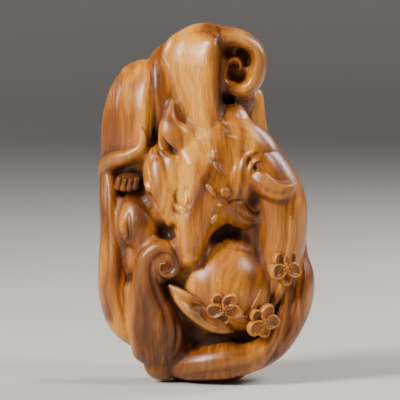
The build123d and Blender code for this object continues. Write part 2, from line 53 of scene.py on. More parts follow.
def finished(mesh, name, *nodes):
    """The mesh as a smooth piece of the carving that stands for these CAD nodes."""
    bmesh.ops.remove_doubles(mesh, verts=mesh.verts, dist=weld * mm)
    bmesh.ops.recalc_face_normals(mesh, faces=mesh.faces)
    data = bpy.data.meshes.new(name)
    mesh.to_mesh(data)
    mesh.free()
    piece = bpy.data.objects.new(name, data)
    bpy.context.collection.objects.link(piece)
    data.shade_smooth()
    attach(piece, "root")
    if nodes:
        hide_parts(*nodes)
    carved.append(piece)
    return piece


def rounded_mass(middle, size, segments):
    """A bmesh of an egg shape, from its middle and its three sizes in millimetres."""
    mesh = bmesh.new()
    bmesh.ops.create_uvsphere(mesh, u_segments=segments, v_segments=segments // 2, radius=0.5 * mm)
    bmesh.ops.scale(mesh, vec=size, verts=mesh.verts)
    bmesh.ops.translate(mesh, vec=Vector(middle) * mm, verts=mesh.verts)
    return mesh


def take_in(mesh, other):
    """Adds everything in the other bmesh to this one, and frees the other."""
    part = bpy.data.meshes.new("part")
    other.to_mesh(part)
    other.free()
    mesh.from_mesh(part)
    bpy.data.meshes.remove(part)


block_size = (33.0, 22.0, 52.0)
block_middle = (0.0, -0.45, 24.0)
# more of the blank, left standing between the tails on the left
left_wood_size = (4.6, 8.6, 12.5)
left_wood_middle = (-14.3, -5.0, 26.0)
mesh = rounded_mass(block_middle, block_size, segments=176)
cut = bmesh.ops.bisect_plane(
    mesh,
    geom=mesh.verts[:] + mesh.edges[:] + mesh.faces[:],
    plane_co=(0, 0, 0),
    plane_no=(0, 0, -1),
    clear_outer=True,
)
rim = [edge for edge in cut["geom_cut"] if isinstance(edge, bmesh.types.BMEdge)]
bmesh.ops.contextual_create(mesh, geom=rim)
take_in(mesh, rounded_mass(left_wood_middle, left_wood_size, segments=64))
block = finished(mesh, "egg_block", "body_block")

# Tail 1, the broad one behind the head, rising to a domed top.
# Its front is a wide polished face that slopes away from an edge on the right.
# Like every lock, it was cut with a gouge along its length and rubbed smooth.
UP = Vector((0, 0, 1))
TOWARDS_VIEWER = Vector((0, -1, 0))
cap_rings = 9  # rings that close each end of a lock
sharp_reach = 0.02  # millimetres that a sharp end goes on past its last row
groove_runout = 0.12  # share of a lock's length over which a groove's ends fade
least_section = 0.01  # square millimetres that a lock has at least when its lay is worked out


def smooth_rows(rows, count):
    """That many rows, evenly spaced on a smooth line through the given ones."""
    table = np.array(rows, float)
    gaps = np.linalg.norm(np.diff(table[:, :3], axis=0), axis=1)
    reach = np.concatenate([[0.0], np.cumsum(gaps)])
    steps = np.diff(table, axis=0) / gaps[:, None]
    slopes = np.empty_like(table)
    slopes[0] = steps[0]
    slopes[-1] = steps[-1]
    weighted = steps[:-1] * gaps[1:, None] + steps[1:] * gaps[:-1, None]
    slopes[1:-1] = weighted / (gaps[:-1] + gaps[1:])[:, None]
    wanted = np.linspace(0, reach[-1], count)
    before = np.clip(np.searchsorted(reach, wanted, side="right") - 1, 0, len(gaps) - 1)
    gap = gaps[before][:, None]
    share = (wanted[:, None] - reach[before][:, None]) / gap
    square = share**2
    cube = share**3
    return (
        table[before] * (2 * cube - 3 * square + 1)
        + slopes[before] * gap * (cube - 2 * square + share)
        + table[before + 1] * (3 * square - 2 * cube)
        + slopes[before + 1] * gap * (cube - square)
    )


def unit(rows):
    """The rows as vectors of length one."""
    return rows / np.linalg.norm(rows, axis=1)[:, None]


def groove_depth(turn, share, grooves):
    """How deep the gouge's grooves are at these angles round the lock and shares of its length.

    A groove is (its path as shares of the length and angles, width in degrees, depth).
    """
    depth = np.zeros_like(turn)
    for path, width, deep in grooves:
        places = [place for place, angle in path]
        angles = [angle for place, angle in path]
        middle = np.interp(share, places, angles)
        away = (turn - middle + 180) % 360 - 180
        ramp = np.minimum(share - places[0], places[-1] - share) / groove_runout
        fade = np.clip(ramp, 0, 1)
        depth += deep * fade * fade * (3 - 2 * fade) * np.exp(-((away / width) ** 2))
    return depth


def lock(rows, heading=None, facing=TOWARDS_VIEWER, around=80, rings=130, square=2.0, slant=0.0,
         grooves=(), tips=(True, True)):
    """A bmesh of a lock of carved fur along rows of (x, y, z, width, thickness) in millimetres.

    An angle round it is 90 at the front, and 0 at the right of a lock that runs upwards.
    """
    count = rings + 1
    inner = count - 2 * cap_rings
    table = smooth_rows(rows, inner)
    centre = table[:, :3]
    if heading is None:
        along = unit(np.gradient(centre, axis=0))
    elif heading == "rows":
        along = unit(table[:, 5:8])
    else:
        along = np.tile(np.array(heading, float), (inner, 1))
    if facing == "radial":
        outward = unit(centre * [1, 1, 0])
    else:
        outward = np.tile(np.array(facing, float), (inner, 1))
    across = unit(np.cross(along, outward))
    front = unit(np.cross(across, along))
    half = table[:, 3:5] / 2

    # both ends are closed by a quarter of an ellipse
    def cap(end, sign, rounded):
        turns = np.radians(90) * np.arange(1, cap_rings + 1) / cap_rings
        reach = half[end].min() if rounded else sharp_reach
        tip = centre[end] + sign * np.outer(np.sin(turns), along[end]) * reach
        size = np.outer(np.cos(turns), half[end])
        return tip, size

    start, start_size = cap(0, -1, tips[0])
    stop, stop_size = cap(-1, 1, tips[1])
    centre = np.vstack([start[::-1], centre, stop])
    half = np.vstack([start_size[::-1], half, stop_size])
    repeat = np.repeat(np.arange(inner), [1 + cap_rings] + [1] * (inner - 2) + [1 + cap_rings])
    across = across[repeat]
    front = front[repeat]

    mesh = bmesh.new()
    bmesh.ops.create_uvsphere(mesh, u_segments=around, v_segments=rings, radius=1)
    points = np.array([vert.co for vert in mesh.verts])
    ring = np.rint(np.arccos(np.clip(-points[:, 2], -1, 1)) / math.pi * rings).astype(int)
    turn = np.degrees(np.arctan2(points[:, 1], points[:, 0]))
    cosine = np.cos(np.radians(turn))
    sine = np.sin(np.radians(turn))
    side = np.sign(cosine) * np.abs(cosine) ** (2 / square)
    face = np.sign(sine) * np.abs(sine) ** (2 / square)
    share = ring / rings
    depth = groove_depth(turn, share, grooves)
    width = half[ring, 0]
    thickness = half[ring, 1]
    out = across[ring] * (cosine * thickness)[:, None] + front[ring] * (sine * width)[:, None]
    out = out / np.maximum(np.linalg.norm(out, axis=1), 1e-9)[:, None]
    forward = face * thickness + slant * side * width * (sine > 0) * sine
    placed = centre[ring] + across[ring] * (side * width)[:, None] + front[ring] * forward[:, None]
    placed -= out * depth[:, None]
    reach = np.concatenate([[0.0], np.cumsum(np.linalg.norm(np.diff(centre, axis=0), axis=1))])
    lay = mesh.verts.layers.float_vector.new("lay")
    mean = np.sqrt(np.maximum(width * thickness, least_section))
    for vert, point, angle, size, place in zip(mesh.verts, placed, turn, mean, reach[ring]):
        vert.co = Vector(point) * mm
        vert[lay] = (math.radians(angle) * size * mm, place * mm, 0)
    return mesh


tail_1_rows = [
    (0.0, 6.0, 14.0, 7.8, 10.2),
    (-1.0, 4.5, 24.0, 9.3, 14.5),
    (-1.7, 2.5, 32.0, 9.8, 17.0),
    (-2.1, 0.5, 40.0, 9.6, 17.0),
    (-2.1, -0.9, 48.0, 9.8, 17.0),
    (-2.3, -1.5, 54.6, 10.4, 15.6),
    (-2.7, -2.0, 59.5, 11.2, 14.3),
    (-2.9, -2.2, 62.5, 12.0, 13.3),
    (-2.7, -2.3, 65.0, 11.7, 12.0),
    (-2.0, -2.4, 66.8, 10.6, 10.4),
    (-1.0, -2.4, 68.2, 8.6, 8.0),
    (-0.4, -2.4, 69.1, 6.2, 5.6),
    (-0.1, -2.4, 69.6, 3.6, 3.2),
    (0.0, -2.4, 69.75, 1.2, 1.0),
]
tail_1_grooves = [
    ([(0.55, 100), (0.75, 104), (0.97, 95)], 9, 0.15),
    ([(0.5, 140), (0.75, 146), (0.95, 130)], 10, 0.3),
]
mesh = lock(
    tail_1_rows, UP, around=200, rings=220, square=3.1, slant=0.6, grooves=tail_1_grooves,
    tips=(True, False),
)
tail_1 = finished(mesh, "tail_1", "tail_top")
# a line cut along its right edge and over the dome, and the ridge that it leaves
tail_1_strokes = [
    ([(2.3, 58.0), (2.6, 62.0), (2.6, 66.0), (0.6, 68.0), (-3.6, 68.2)], 0.28, -0.3),
    ([(1.6, 54.0), (1.9, 60.0), (1.8, 65.0), (-0.6, 67.0)], 0.8, 0.3),
]

# The end of tail 1, a ribbon that goes over to the right and rolls into the open curl.
# Thin wood closes the hollow of the curl at the back, so no light comes through.
# A little more is left under the curl, where it stands on the neck.
curl_eye = (5.3, -2.85, 60.6)
curl_lean = 0.8
# angle, distance from the eye, width, thickness, lean
curl_table = [
    (150, 8.0, 5.3, 9.0, 0.0),
    (130, 7.3, 5.1, 10.0, 0.0),
    (110, 6.8, 4.5, 10.4, 0.0),
    (90, 6.4, 3.7, 10.4, 0.0),
    (68, 6.1, 3.2, 10.0, 0.0),
    (45, 5.8, 3.0, 9.6, 0.0),
    (22, 5.1, 3.2, 9.2, 0.05),
    (0, 4.35, 3.7, 8.9, 0.1),
    (-22, 4.2, 3.6, 8.6, 0.15),
    (-45, 4.2, 3.3, 8.4, 0.2),
    (-68, 3.9, 3.1, 8.0, 0.25),
    (-90, 3.5, 3.1, 7.6, 0.3),
    (-115, 3.2, 2.7, 7.1, 0.4),
    (-140, 2.75, 2.1, 6.6, 0.5),
    (-165, 2.1, 1.65, 6.1, 0.6),
    (-190, 1.85, 1.45, 5.6, 0.7),
    (-215, 1.95, 1.4, 5.2, 0.8),
    (-240, 2.2, 1.35, 4.8, 0.9),
    (-265, 2.3, 1.3, 4.5, 1.0),
    (-290, 2.1, 1.2, 4.2, 1.05),
    (-318, 1.6, 1.05, 3.9, 1.1),
    (-345, 1.15, 0.85, 3.6, 1.1),
]


def curl_rows(eye, lean, table):
    """Rows of a lock that winds about its eye, with the way that each one heads."""
    rows = []
    for angle, out, width, thickness, forward in table:
        turn = math.radians(angle)
        x = eye[0] + out * math.cos(turn)
        z = eye[2] + out * math.sin(turn)
        heading = (math.sin(turn), 0, -math.cos(turn))
        rows.append((x, eye[1] - lean * forward, z, width, thickness, *heading))
    return rows


mesh = lock(curl_rows(curl_eye, curl_lean, curl_table), "rows", rings=220, around=72, square=2.4)
open_curl = finished(mesh, "tail_1_curl", "tail_top_curl")

open_curl_strokes = [([(5.0, 60.9), (5.2, 60.3), (5.1, 59.7)], 0.5, -1.6)]
web_size = (9.6, 5.0, 9.6)
web_middle = (5.7, -1.35, 59.6)
stand_size = (8.0, 6.4, 8.0)
stand_middle = (5.2, 0.0, 54.6)
mesh = rounded_mass(web_middle, web_size, segments=64)
take_in(mesh, rounded_mass(stand_middle, stand_size, segments=64))
finished(mesh, "tail_1_curl_back")

# Tail 2, the broad one at the upper left, with a long polished flank.
# It rises behind the fox, and its front slopes away from an edge on the right.
tail_2_rows = [
    (-8.0, 7.0, 13.0, 7.3, 7.2),
    (-10.9, 6.0, 23.0, 8.8, 9.6),
    (-13.4, 3.5, 33.0, 9.9, 12.0),
    (-15.1, 0.5, 41.0, 10.4, 12.0),
    (-15.4, -1.0, 48.0, 10.4, 12.0),
    (-14.9, -1.5, 54.0, 9.7, 11.3),
    (-14.3, -1.5, 57.5, 8.5, 9.8),
    (-13.65, -1.35, 59.7, 7.1, 7.9),
    (-13.0, -1.0, 61.5, 5.1, 5.5),
    (-12.6, -0.9, 62.2, 3.1, 3.4),
    (-12.3, -0.9, 62.6, 1.0, 1.2),
]
tail_2_grooves = [
    ([(0.4, 42), (0.6, 44), (0.85, 42), (0.97, 50)], 6, 0.3),
    ([(0.35, 112), (0.6, 116), (0.93, 100)], 10, 0.15),
]
mesh = lock(
    tail_2_rows, UP, around=200, rings=200, square=3.2, slant=0.75, grooves=tail_2_grooves,
    tips=(True, False),
)
tail_2 = finished(mesh, "tail_2", "tail_upper_left")
# the ridge on its right edge, and the hollow beside it
tail_2_strokes = [
    ([(-10.7, 46.0), (-10.4, 51.0), (-10.4, 56.0), (-11.0, 60.0)], 0.4, 0.4),
    ([(-11.5, 47.0), (-11.3, 52.0), (-11.4, 58.0)], 0.35, -0.2),
]

# Tail 3, a narrow strip set back between tails 1 and 2.
# Only its front shows, because the two beside it were cut broader.
tail_3_rows = [
    (-5.0, 8.0, 20.0, 3.7, 5.2),
    (-7.5, 7.5, 33.0, 4.8, 7.8),
    (-8.6, 2.2, 43.0, 5.6, 12.4),
    (-8.7, 0.2, 48.5, 5.8, 13.8),
    (-8.7, -0.6, 53.0, 5.7, 13.2),
    (-8.6, -0.85, 58.0, 5.8, 12.2),
    (-8.5, -0.6, 61.6, 5.8, 10.0),
    (-8.1, -0.4, 63.9, 5.0, 7.2),
    (-7.6, -0.3, 65.2, 3.6, 4.6),
    (-7.3, -0.3, 65.9, 1.4, 2.0),
]
mesh = lock(tail_3_rows, UP, square=3.2, tips=(True, False))
finished(mesh, "tail_3", "tail_between")

# Tail 4 comes round the left side from the back and ends in a small upturned hook.
# It is a thin cord of wood, left standing over the flank of tail 2.
tail_4_rows = [
    (-12.6, 10.5, 27.0, 3.8, 3.6),
    (-17.2, 7.5, 34.3, 3.8, 3.6),
    (-19.3, 2.1, 40.0, 3.8, 3.6),
    (-19.5, -2.6, 42.0, 3.6, 3.4),
    (-17.9, -6.3, 43.4, 3.2, 3.1),
    (-14.9, -8.5, 44.4, 2.7, 2.5),
    (-12.7, -9.3, 46.1, 1.9, 1.8),
    (-12.4, -9.3, 48.2, 1.3, 1.3),
    (-12.9, -9.2, 49.6, 0.6, 0.5),
]
mesh = lock(tail_4_rows, facing="radial", around=48)
finished(mesh, "tail_4", "tail_hook")

# Tail 5 hangs down the lower left side and swells before it tucks under.
# The gouge left two shallow flutes down its front.
tail_5_rows = [
    (-19.0, 0.0, 41.0, 3.8, 9.1),
    (-18.6, -1.2, 35.0, 4.6, 10.4),
    (-17.9, -1.95, 28.0, 5.8, 11.9),
    (-17.7, -2.55, 22.0, 6.9, 13.0),
    (-17.7, -2.85, 17.0, 6.6, 13.0),
    (-15.8, -2.55, 11.5, 6.3, 11.7),
    (-12.0, -1.95, 7.5, 4.0, 9.1),
]
tail_5_grooves = [
    ([(0.1, 80), (0.35, 62), (0.6, 55), (0.85, 60)], 9, 0.25),
    ([(0.45, 115), (0.65, 105), (0.92, 110)], 8, 0.25),
]
mesh = lock(tail_5_rows, square=2.2, grooves=tail_5_grooves)
finished(mesh, "tail_5", "tail_lower_left")

# Tail 6 swells up from the foot at the left and winds into the tight curl under the chin.
# The gouge left three flutes in it, the longest in the shape of an S.
low_eye = (-7.9, -10.5, 23.4)
low_lean = 1.6
low_curl_table = [
    (203, 4.26, 5.5, 5.4, -0.1),
    (155, 3.8, 4.2, 5.1, 0.1),
    (110, 3.6, 3.4, 4.9, 0.3),
    (69, 3.03, 2.86, 4.3, 0.45),
    (30, 2.5, 2.5, 4.0, 0.5),
    (-10, 2.2, 2.3, 3.8, 0.55),
    (-55, 2.0, 2.1, 3.6, 0.6),
    (-100, 1.7, 1.9, 3.5, 0.65),
    (-150, 1.35, 1.6, 3.3, 0.75),
    (-200, 1.0, 1.3, 3.2, 0.85),
    (-260, 0.6, 1.0, 3.1, 0.95),
]
tail_6_rows = [
    (-8.6, -5.0, 3.5, 7.3, 6.2),
    (-9.0, -5.7, 4.7, 9.6, 7.2),
    (-9.3, -6.8, 6.3, 10.5, 8.0),
    (-9.5, -8.1, 8.8, 10.5, 8.0),
    (-9.8, -9.0, 11.8, 10.0, 7.7),
    (-10.3, -9.3, 14.7, 8.9, 7.2),
    (-11.3, -9.75, 18.2, 7.0, 6.4),
]
tail_6_rows = [row + (0, 0, 1) for row in tail_6_rows]
tail_6_rows += curl_rows(low_eye, low_lean, low_curl_table)
tail_6_grooves = [
    ([(0.1, 92), (0.2, 70), (0.32, 60), (0.45, 62), (0.6, 60)], 9, 0.55),
    ([(0.12, 125), (0.22, 112), (0.35, 106), (0.5, 112)], 8, 0.25),
    ([(0.08, 60), (0.2, 40), (0.35, 30)], 8, 0.3),
]
mesh = lock(tail_6_rows, "rows", rings=260, around=88, grooves=tail_6_grooves)
tail_6 = finished(mesh, "tail_6", "tail_curled")
# the cut between the turns of the tight curl
tail_6_strokes = [
    ([(-9.6, 22.6), (-9.5, 24.3), (-8.5, 25.2), (-7.3, 24.9), (-6.9, 23.8), (-7.5, 23.0)], 0.28, -0.7),
]

# Tail 7 sweeps along the bottom and up to a thin point under the flowers.
# Two shallow flutes follow it round the foot.
tail_7_rows = [
    (-5.5, -4.7, 3.5, 5.6, 6.8),
    (-2.9, -6.3, 3.7, 6.3, 7.6),
    (0.5, -8.0, 4.2, 6.7, 8.0),
    (4.5, -8.8, 4.8, 7.0, 8.0),
    (8.3, -8.8, 5.5, 6.0, 7.6),
    (11.3, -8.3, 7.6, 4.3, 6.4),
    (13.3, -7.6, 11.0, 3.2, 4.8),
    (14.5, -7.0, 14.6, 2.2, 3.6),
    (15.2, -6.5, 18.4, 1.0, 1.6),
]
tail_7_grooves = [
    ([(0.15, 60), (0.5, 66), (0.9, 70)], 9, 0.22),
    ([(0.35, 112), (0.7, 108), (0.95, 100)], 9, 0.2),
]
mesh = lock(tail_7_rows, around=64, grooves=tail_7_grooves)
tail_7 = finished(mesh, "tail_7", "tail_bottom")

# Tail 8, the outer one on the right, goes from under the foot up to a point.
# One broad flute runs along its middle.
tail_8_rows = [
    (3.0, -1.05, 3.6, 5.2, 10.4),
    (8.0, -1.5, 4.2, 5.5, 11.7),
    (12.8, -1.8, 6.8, 5.5, 13.0),
    (16.2, -1.9, 11.5, 5.5, 13.0),
    (18.0, -1.9, 16.5, 5.5, 12.4),
    (18.4, -2.0, 20.8, 4.9, 10.4),
    (18.3, -2.2, 24.5, 2.9, 6.5),
    (18.9, -2.3, 28.4, 0.8, 1.8),
]
tail_8_grooves = [([(0.3, 92), (0.6, 96), (0.9, 90)], 12, 0.35)]
mesh = lock(tail_8_rows, around=64, grooves=tail_8_grooves)
tail_8 = finished(mesh, "tail_8", "tail_right")

# Tail 9 runs up the back on the right; its rounded end shows behind the open curl.
# The carver left it plain, without any flute.
tail_9_rows = [
    (5.0, 7.0, 12.0, 7.0, 7.2),
    (8.0, 8.0, 21.0, 8.8, 9.0),
    (9.2, 7.8, 31.0, 9.0, 9.0),
    (8.6, 6.6, 41.0, 9.6, 9.0),
    (7.0, 5.0, 48.5, 9.8, 8.4),
    (6.7, 4.2, 52.0, 9.4, 7.8),
    (6.9, 3.7, 54.2, 8.6, 6.8),
    (7.6, 3.5, 55.6, 6.6, 5.2),
    (8.6, 3.4, 56.5, 3.8, 3.2),
    (9.2, 3.4, 56.9, 1.2, 1.2),
]
mesh = lock(tail_9_rows, UP, tips=(True, False))
finished(mesh, "tail_9", "tail_back")

# The back of the fox: neck, shoulder and rump in one polished arch down the right side.
# It is one broad ridge, rubbed so smooth that it shows the grain.
back_rows = [
    (0.4, -1.95, 49.4, 5.8, 11.8),
    (5.9, -2.25, 47.0, 8.1, 15.2),
    (10.9, -2.25, 42.5, 9.0, 17.9),
    (13.3, -1.95, 36.5, 11.2, 19.0),
    (13.9, -1.95, 30.1, 11.2, 19.0),
    (13.8, -1.95, 24.0, 9.7, 18.0),
    (12.6, -1.95, 18.9, 7.0, 16.0),
]
mesh = lock(back_rows, square=2.2)
arched_back = finished(mesh, "arched_back", "back")

# The haunch, a smooth dome under the chin, the most polished place of all.
# The wood round it was cut away, and then it was rounded and rubbed.
haunch_middle = (3.3, -5.4, 18.5)
haunch_size = (19.8, 17.8, 19.8)
dome = finished(rounded_mass(haunch_middle, haunch_size, segments=128), "haunch_dome", "haunch")

# The head, bowed and turned a little to the right, with both ears and the shut eye.
# It was roughed out with the neck, so its skull, cheeks and ears run into each other.
head_heading = Vector((-0.35, -0.25, -0.90)).normalized()
skull_outward = Vector((0.15, -0.97, 0.08))
skull_rows = [
    (4.4, -5.2, 50.2, 8.0, 8.0),
    (3.4, -5.8, 47.2, 13.9, 11.4),
    (2.0, -6.2, 44.2, 18.5, 12.0),
    (-0.3, -6.9, 40.9, 20.2, 12.2),
    (-1.7, -7.8, 37.4, 18.8, 11.2),
    (-2.3, -8.7, 34.0, 13.6, 8.8),
    (-2.9, -9.8, 30.6, 8.2, 6.8),
    (-3.2, -10.6, 27.8, 6.4, 6.4),
    (-3.4, -11.1, 25.8, 4.7, 5.6),
    (-3.4, -11.3, 24.5, 3.0, 4.2),
]
ridge_rows = [
    (-5.1, -9.6, 45.8, 4.2, 3.8),
    (-2.9, -10.9, 43.2, 6.6, 4.4),
    (-1.1, -11.6, 40.4, 7.8, 4.6),
    (-0.5, -11.9, 37.4, 8.2, 4.8),
    (-1.6, -12.1, 33.9, 7.4, 5.0),
    (-2.7, -12.3, 30.6, 6.2, 5.0),
    (-3.3, -12.5, 27.6, 5.2, 4.8),
    (-3.4, -12.6, 25.2, 3.8, 3.6),
]
cheek_rows = [
    (-8.4, -6.3, 46.4, 3.0, 3.4),
    (-9.0, -6.9, 44.2, 5.6, 6.4),
    (-8.8, -7.6, 41.2, 7.2, 8.6),
    (-8.2, -8.0, 38.0, 7.6, 9.4),
    (-7.3, -8.8, 35.0, 6.2, 7.8),
    (-6.4, -9.4, 32.2, 3.8, 5.2),
]
right_face_rows = [
    (5.5, -7.0, 45.5, 8.0, 7.0),
    (6.0, -7.6, 42.0, 9.0, 8.4),
    (5.6, -8.2, 38.6, 8.4, 8.4),
    (4.2, -8.6, 35.8, 6.0, 6.6),
    (2.4, -9.2, 33.6, 3.6, 4.4),
]
left_ear_rows = [
    (-5.0, -8.6, 44.4, 6.0, 4.6),
    (-5.6, -9.6, 46.8, 7.0, 4.8),
    (-6.6, -9.9, 48.9, 6.1, 4.2),
    (-7.05, -9.7, 50.2, 4.6, 3.6),
    (-7.1, -9.4, 51.4, 3.2, 2.8),
    (-7.0, -9.1, 52.6, 2.2, 2.1),
    (-6.8, -8.8, 54.0, 1.3, 1.4),
    (-6.75, -8.5, 55.1, 0.6, 0.7),
]
right_ear_rows = [
    (8.6, -8.4, 41.4, 5.0, 4.4),
    (10.0, -9.8, 39.8, 4.6, 4.8),
    (11.6, -10.9, 38.3, 3.9, 4.6),
    (13.2, -11.6, 37.5, 3.3, 4.0),
    (14.8, -11.8, 37.4, 2.9, 3.2),
    (16.0, -11.6, 38.2, 2.1, 2.4),
    (16.7, -11.2, 39.1, 0.9, 1.2),
]
throat_rows = [
    (3.0, -8.0, 37.4, 5.0, 5.4),
    (4.8, -8.2, 35.0, 6.2, 6.0),
    (7.0, -8.0, 33.2, 6.2, 6.0),
    (9.4, -7.6, 32.4, 4.6, 5.0),
]
neck_rows = [
    (-0.4, -5.6, 48.0, 5.0, 8.0),
    (3.2, -6.0, 49.0, 6.6, 9.6),
    (7.0, -5.8, 47.4, 8.2, 10.6),
    (9.8, -5.2, 43.6, 9.0, 11.0),
    (10.4, -4.2, 39.6, 7.4, 9.0),
]
# middle and size of the shut eye, the tuft under it, the nose and the wood from the ear to tail 1
face_lumps = [
    ((-4.75, -11.4, 36.4), (1.9, 2.6, 3.6)),
    ((-5.5, -11.4, 34.5), (1.2, 1.6, 1.4)),
    ((-3.1, -13.4, 25.0), (3.0, 2.6, 2.0)),
    ((-4.9, -5.4, 51.4), (4.8, 5.6, 9.4)),
]
head_grain = 0.23
head_smoothing = 15
masses = [
    lock(skull_rows, head_heading, skull_outward, square=1.9),
    lock(ridge_rows, around=48, rings=90),
    lock(cheek_rows, around=48, rings=80),
    lock(right_face_rows, around=48, rings=80),
    lock(left_ear_rows, around=40, rings=80),
    lock(right_ear_rows, around=40, rings=80),
    lock(neck_rows, around=64, rings=90),
    lock(throat_rows, around=48, rings=80),
]
masses += [rounded_mass(middle, size, segments=32) for middle, size in face_lumps]
joined = bmesh.new()
for mass in masses:
    take_in(joined, mass)
head_nodes = ("head", "left_ear", "right_ear", "cheek_fur", "eyelid", "nose")
head = finished(joined, "bowed_head", *head_nodes)


def run_together(piece, cube):
    """Has the piece's masses remade as one from cubes of that many millimetres."""
    remesh = piece.modifiers.new("remesh", "REMESH")
    remesh.mode = "VOXEL"
    remesh.voxel_size = cube * mm


def rubbed_smooth(piece, rounds):
    """Evens out the piece that many times and keeps the mesh that comes of it."""
    soften = piece.modifiers.new("soften", "SMOOTH")
    soften.factor = 0.5
    soften.iterations = rounds
    evaluated = piece.evaluated_get(bpy.context.evaluated_depsgraph_get())
    rubbed = bpy.data.meshes.new_from_object(evaluated)
    piece.modifiers.clear()
    piece.data = rubbed
    piece.data.shade_smooth()


run_together(head, head_grain)
rubbed_smooth(head, head_smoothing)

stroke_steps = 24  # points on the smooth line of a stroke
stroke_reach = 3  # half widths of a stroke within which it is felt
stroke_runout = 0.25  # share of a stroke over which each of its ends fades
least_stroke = 0.25  # share of its height that is left at the very ends
# how fast a stroke fades where the surface turns aside, and how far round it stops
side_fade = 2.5
side_stop = 0.2


def vertex_rows(data, key, kind=np.float32):
    """The places or the normals of a mesh's vertices, as rows of three numbers."""
    flat = np.empty(len(data.vertices) * 3, kind)
    data.vertices.foreach_get(key, flat)
    return flat.reshape(-1, 3)


def carve(piece, strokes):
    """Cuts or raises the front of a piece along lines over it.

    A stroke is (places across and up, half width, height), where a cut has a negative height.
    """
    data = piece.data
    points = vertex_rows(data, "co", float) / mm
    for places, width, height in strokes:
        normals = vertex_rows(data, "normal")
        line = smooth_rows([(x, 0, z) for x, z in places], stroke_steps)[:, [0, 2]]
        over = points[:, [0, 2]]
        span = np.ptp(line, axis=0) + stroke_reach * width
        near = np.where((np.abs(over - line.mean(0)) < span).all(1))[0]
        best = np.full(len(near), 1e9)
        share = np.zeros(len(near))
        for number in range(len(line) - 1):
            start = line[number]
            step = line[number + 1] - start
            along = np.clip((over[near] - start) @ step / (step @ step), 0, 1)
            away = np.linalg.norm(over[near] - start - along[:, None] * step, axis=1)
            closer = away < best
            best[closer] = away[closer]
            share[closer] = (number + along[closer]) / (len(line) - 1)
        fade = np.clip(np.minimum(share, 1 - share) / stroke_runout, 0, 1)
        full = least_stroke + (1 - least_stroke) * fade
        facing = np.clip(-normals[near, 1] * side_fade - side_stop, 0, 1)
        lift = height * full * facing * np.exp(-((best / width) ** 2))
        points[near] += normals[near] * lift[:, None]
        data.vertices.foreach_set("co", (points * mm).astype(np.float32).ravel())
        data.update()


forehead_strokes = [
    ([(-5.9, 44.4), (-5.6, 41.8), (-5.5, 39.4), (-5.1, 38.2)], 0.9, -0.7),
    ([(-2.1, 46.2), (-0.4, 44.2), (1.5, 42.1), (3.1, 40.1), (3.6, 37.0), (2.1, 33.4)], 1.1, 0.6),
    ([(-4.2, 45.2), (-2.6, 42.2), (-1.0, 39.4), (0.2, 36.4)], 1.4, 0.5),
    ([(1.3, 45.8), (1.5, 44.6), (2.0, 43.4)], 0.35, 0.4),
    ([(0.6, 45.6), (0.85, 42.8)], 0.3, -0.15),
]
eye_strokes = [
    ([(-5.3, 39.0), (-6.0, 37.0), (-5.7, 35.4), (-4.9, 34.6)], 0.32, -0.45),
    ([(-4.6, 39.2), (-3.6, 37.2), (-3.6, 35.4), (-4.3, 34.4)], 0.32, -0.4),
    ([(-4.8, 34.9), (-4.2, 33.8)], 0.4, -0.7),
    ([(-6.6, 35.4), (-5.9, 33.7), (-4.7, 33.0)], 0.3, -0.4),
]
muzzle_strokes = [
    ([(-5.0, 25.3), (-4.0, 24.8), (-2.8, 24.7)], 0.25, -0.22),
    ([(-7.4, 31.4), (-5.9, 30.0), (-5.3, 28.6)], 0.5, -0.4),
]
cheek_strokes = [
    ([(-12.0, 37.2), (-10.9, 34.8), (-9.2, 32.2)], 0.35, 0.5),
    ([(-11.4, 37.6), (-10.2, 35.2), (-8.7, 32.8)], 0.3, -0.55),
    ([(-12.1, 39.6), (-11.3, 38.2), (-11.0, 36.9)], 0.35, 0.5),
    ([(-11.4, 43.6), (-11.0, 41.0), (-10.9, 38.8)], 0.35, -0.25),
    ([(-10.9, 47.0), (-10.6, 45.4), (-10.9, 43.9)], 0.35, 0.5),
    ([(-9.9, 46.2), (-9.7, 44.9), (-10.0, 43.4)], 0.35, 0.4),
]
left_ear_strokes = [
    ([(-9.5, 48.6), (-8.9, 47.3), (-7.9, 46.2), (-6.9, 45.3), (-5.9, 44.9)], 0.5, -2.3),
    ([(-9.8, 47.3), (-8.8, 45.9), (-7.4, 44.8), (-6.1, 44.3)], 0.4, 0.5),
]
right_ear_strokes = [
    ([(9.4, 41.8), (11.2, 40.6), (13.0, 39.2), (15.0, 38.7), (16.5, 39.4)], 0.55, 0.5),
    ([(10.2, 38.6), (12.2, 37.6), (14.4, 37.2), (15.8, 37.9)], 0.55, -0.45),
    ([(7.4, 35.4), (9.2, 33.6), (11.4, 33.0)], 0.35, -0.45),
    ([(5.8, 34.2), (7.6, 32.4), (9.6, 31.8)], 0.35, -0.45),
]
neck_strokes = [
    ([(1.8, 51.3), (4.6, 49.9), (8.2, 48.7)], 0.5, -0.4),
    ([(3.2, 49.6), (5.6, 48.6), (7.6, 47.2)], 0.5, -0.35),
    ([(7.4, 41.6), (8.0, 43.6), (9.8, 44.6), (11.6, 43.7)], 0.34, -0.55),
    ([(8.1, 41.2), (8.7, 42.8), (10.0, 43.6), (11.3, 43.0)], 0.34, 0.5),
    ([(8.8, 41.2), (9.3, 42.2), (10.2, 42.8), (11.2, 42.3)], 0.3, -0.45),
    ([(6.6, 41.0), (7.2, 44.0), (9.4, 45.6)], 0.34, 0.4),
    ([(4.6, 46.4), (5.0, 43.6), (4.8, 41.0)], 0.4, -0.22),
    ([(6.2, 39.4), (6.8, 37.4), (6.6, 35.6)], 0.4, -0.25),
]
head_strokes = (
    forehead_strokes + eye_strokes + muzzle_strokes + cheek_strokes + left_ear_strokes
    + right_ear_strokes + neck_strokes
)

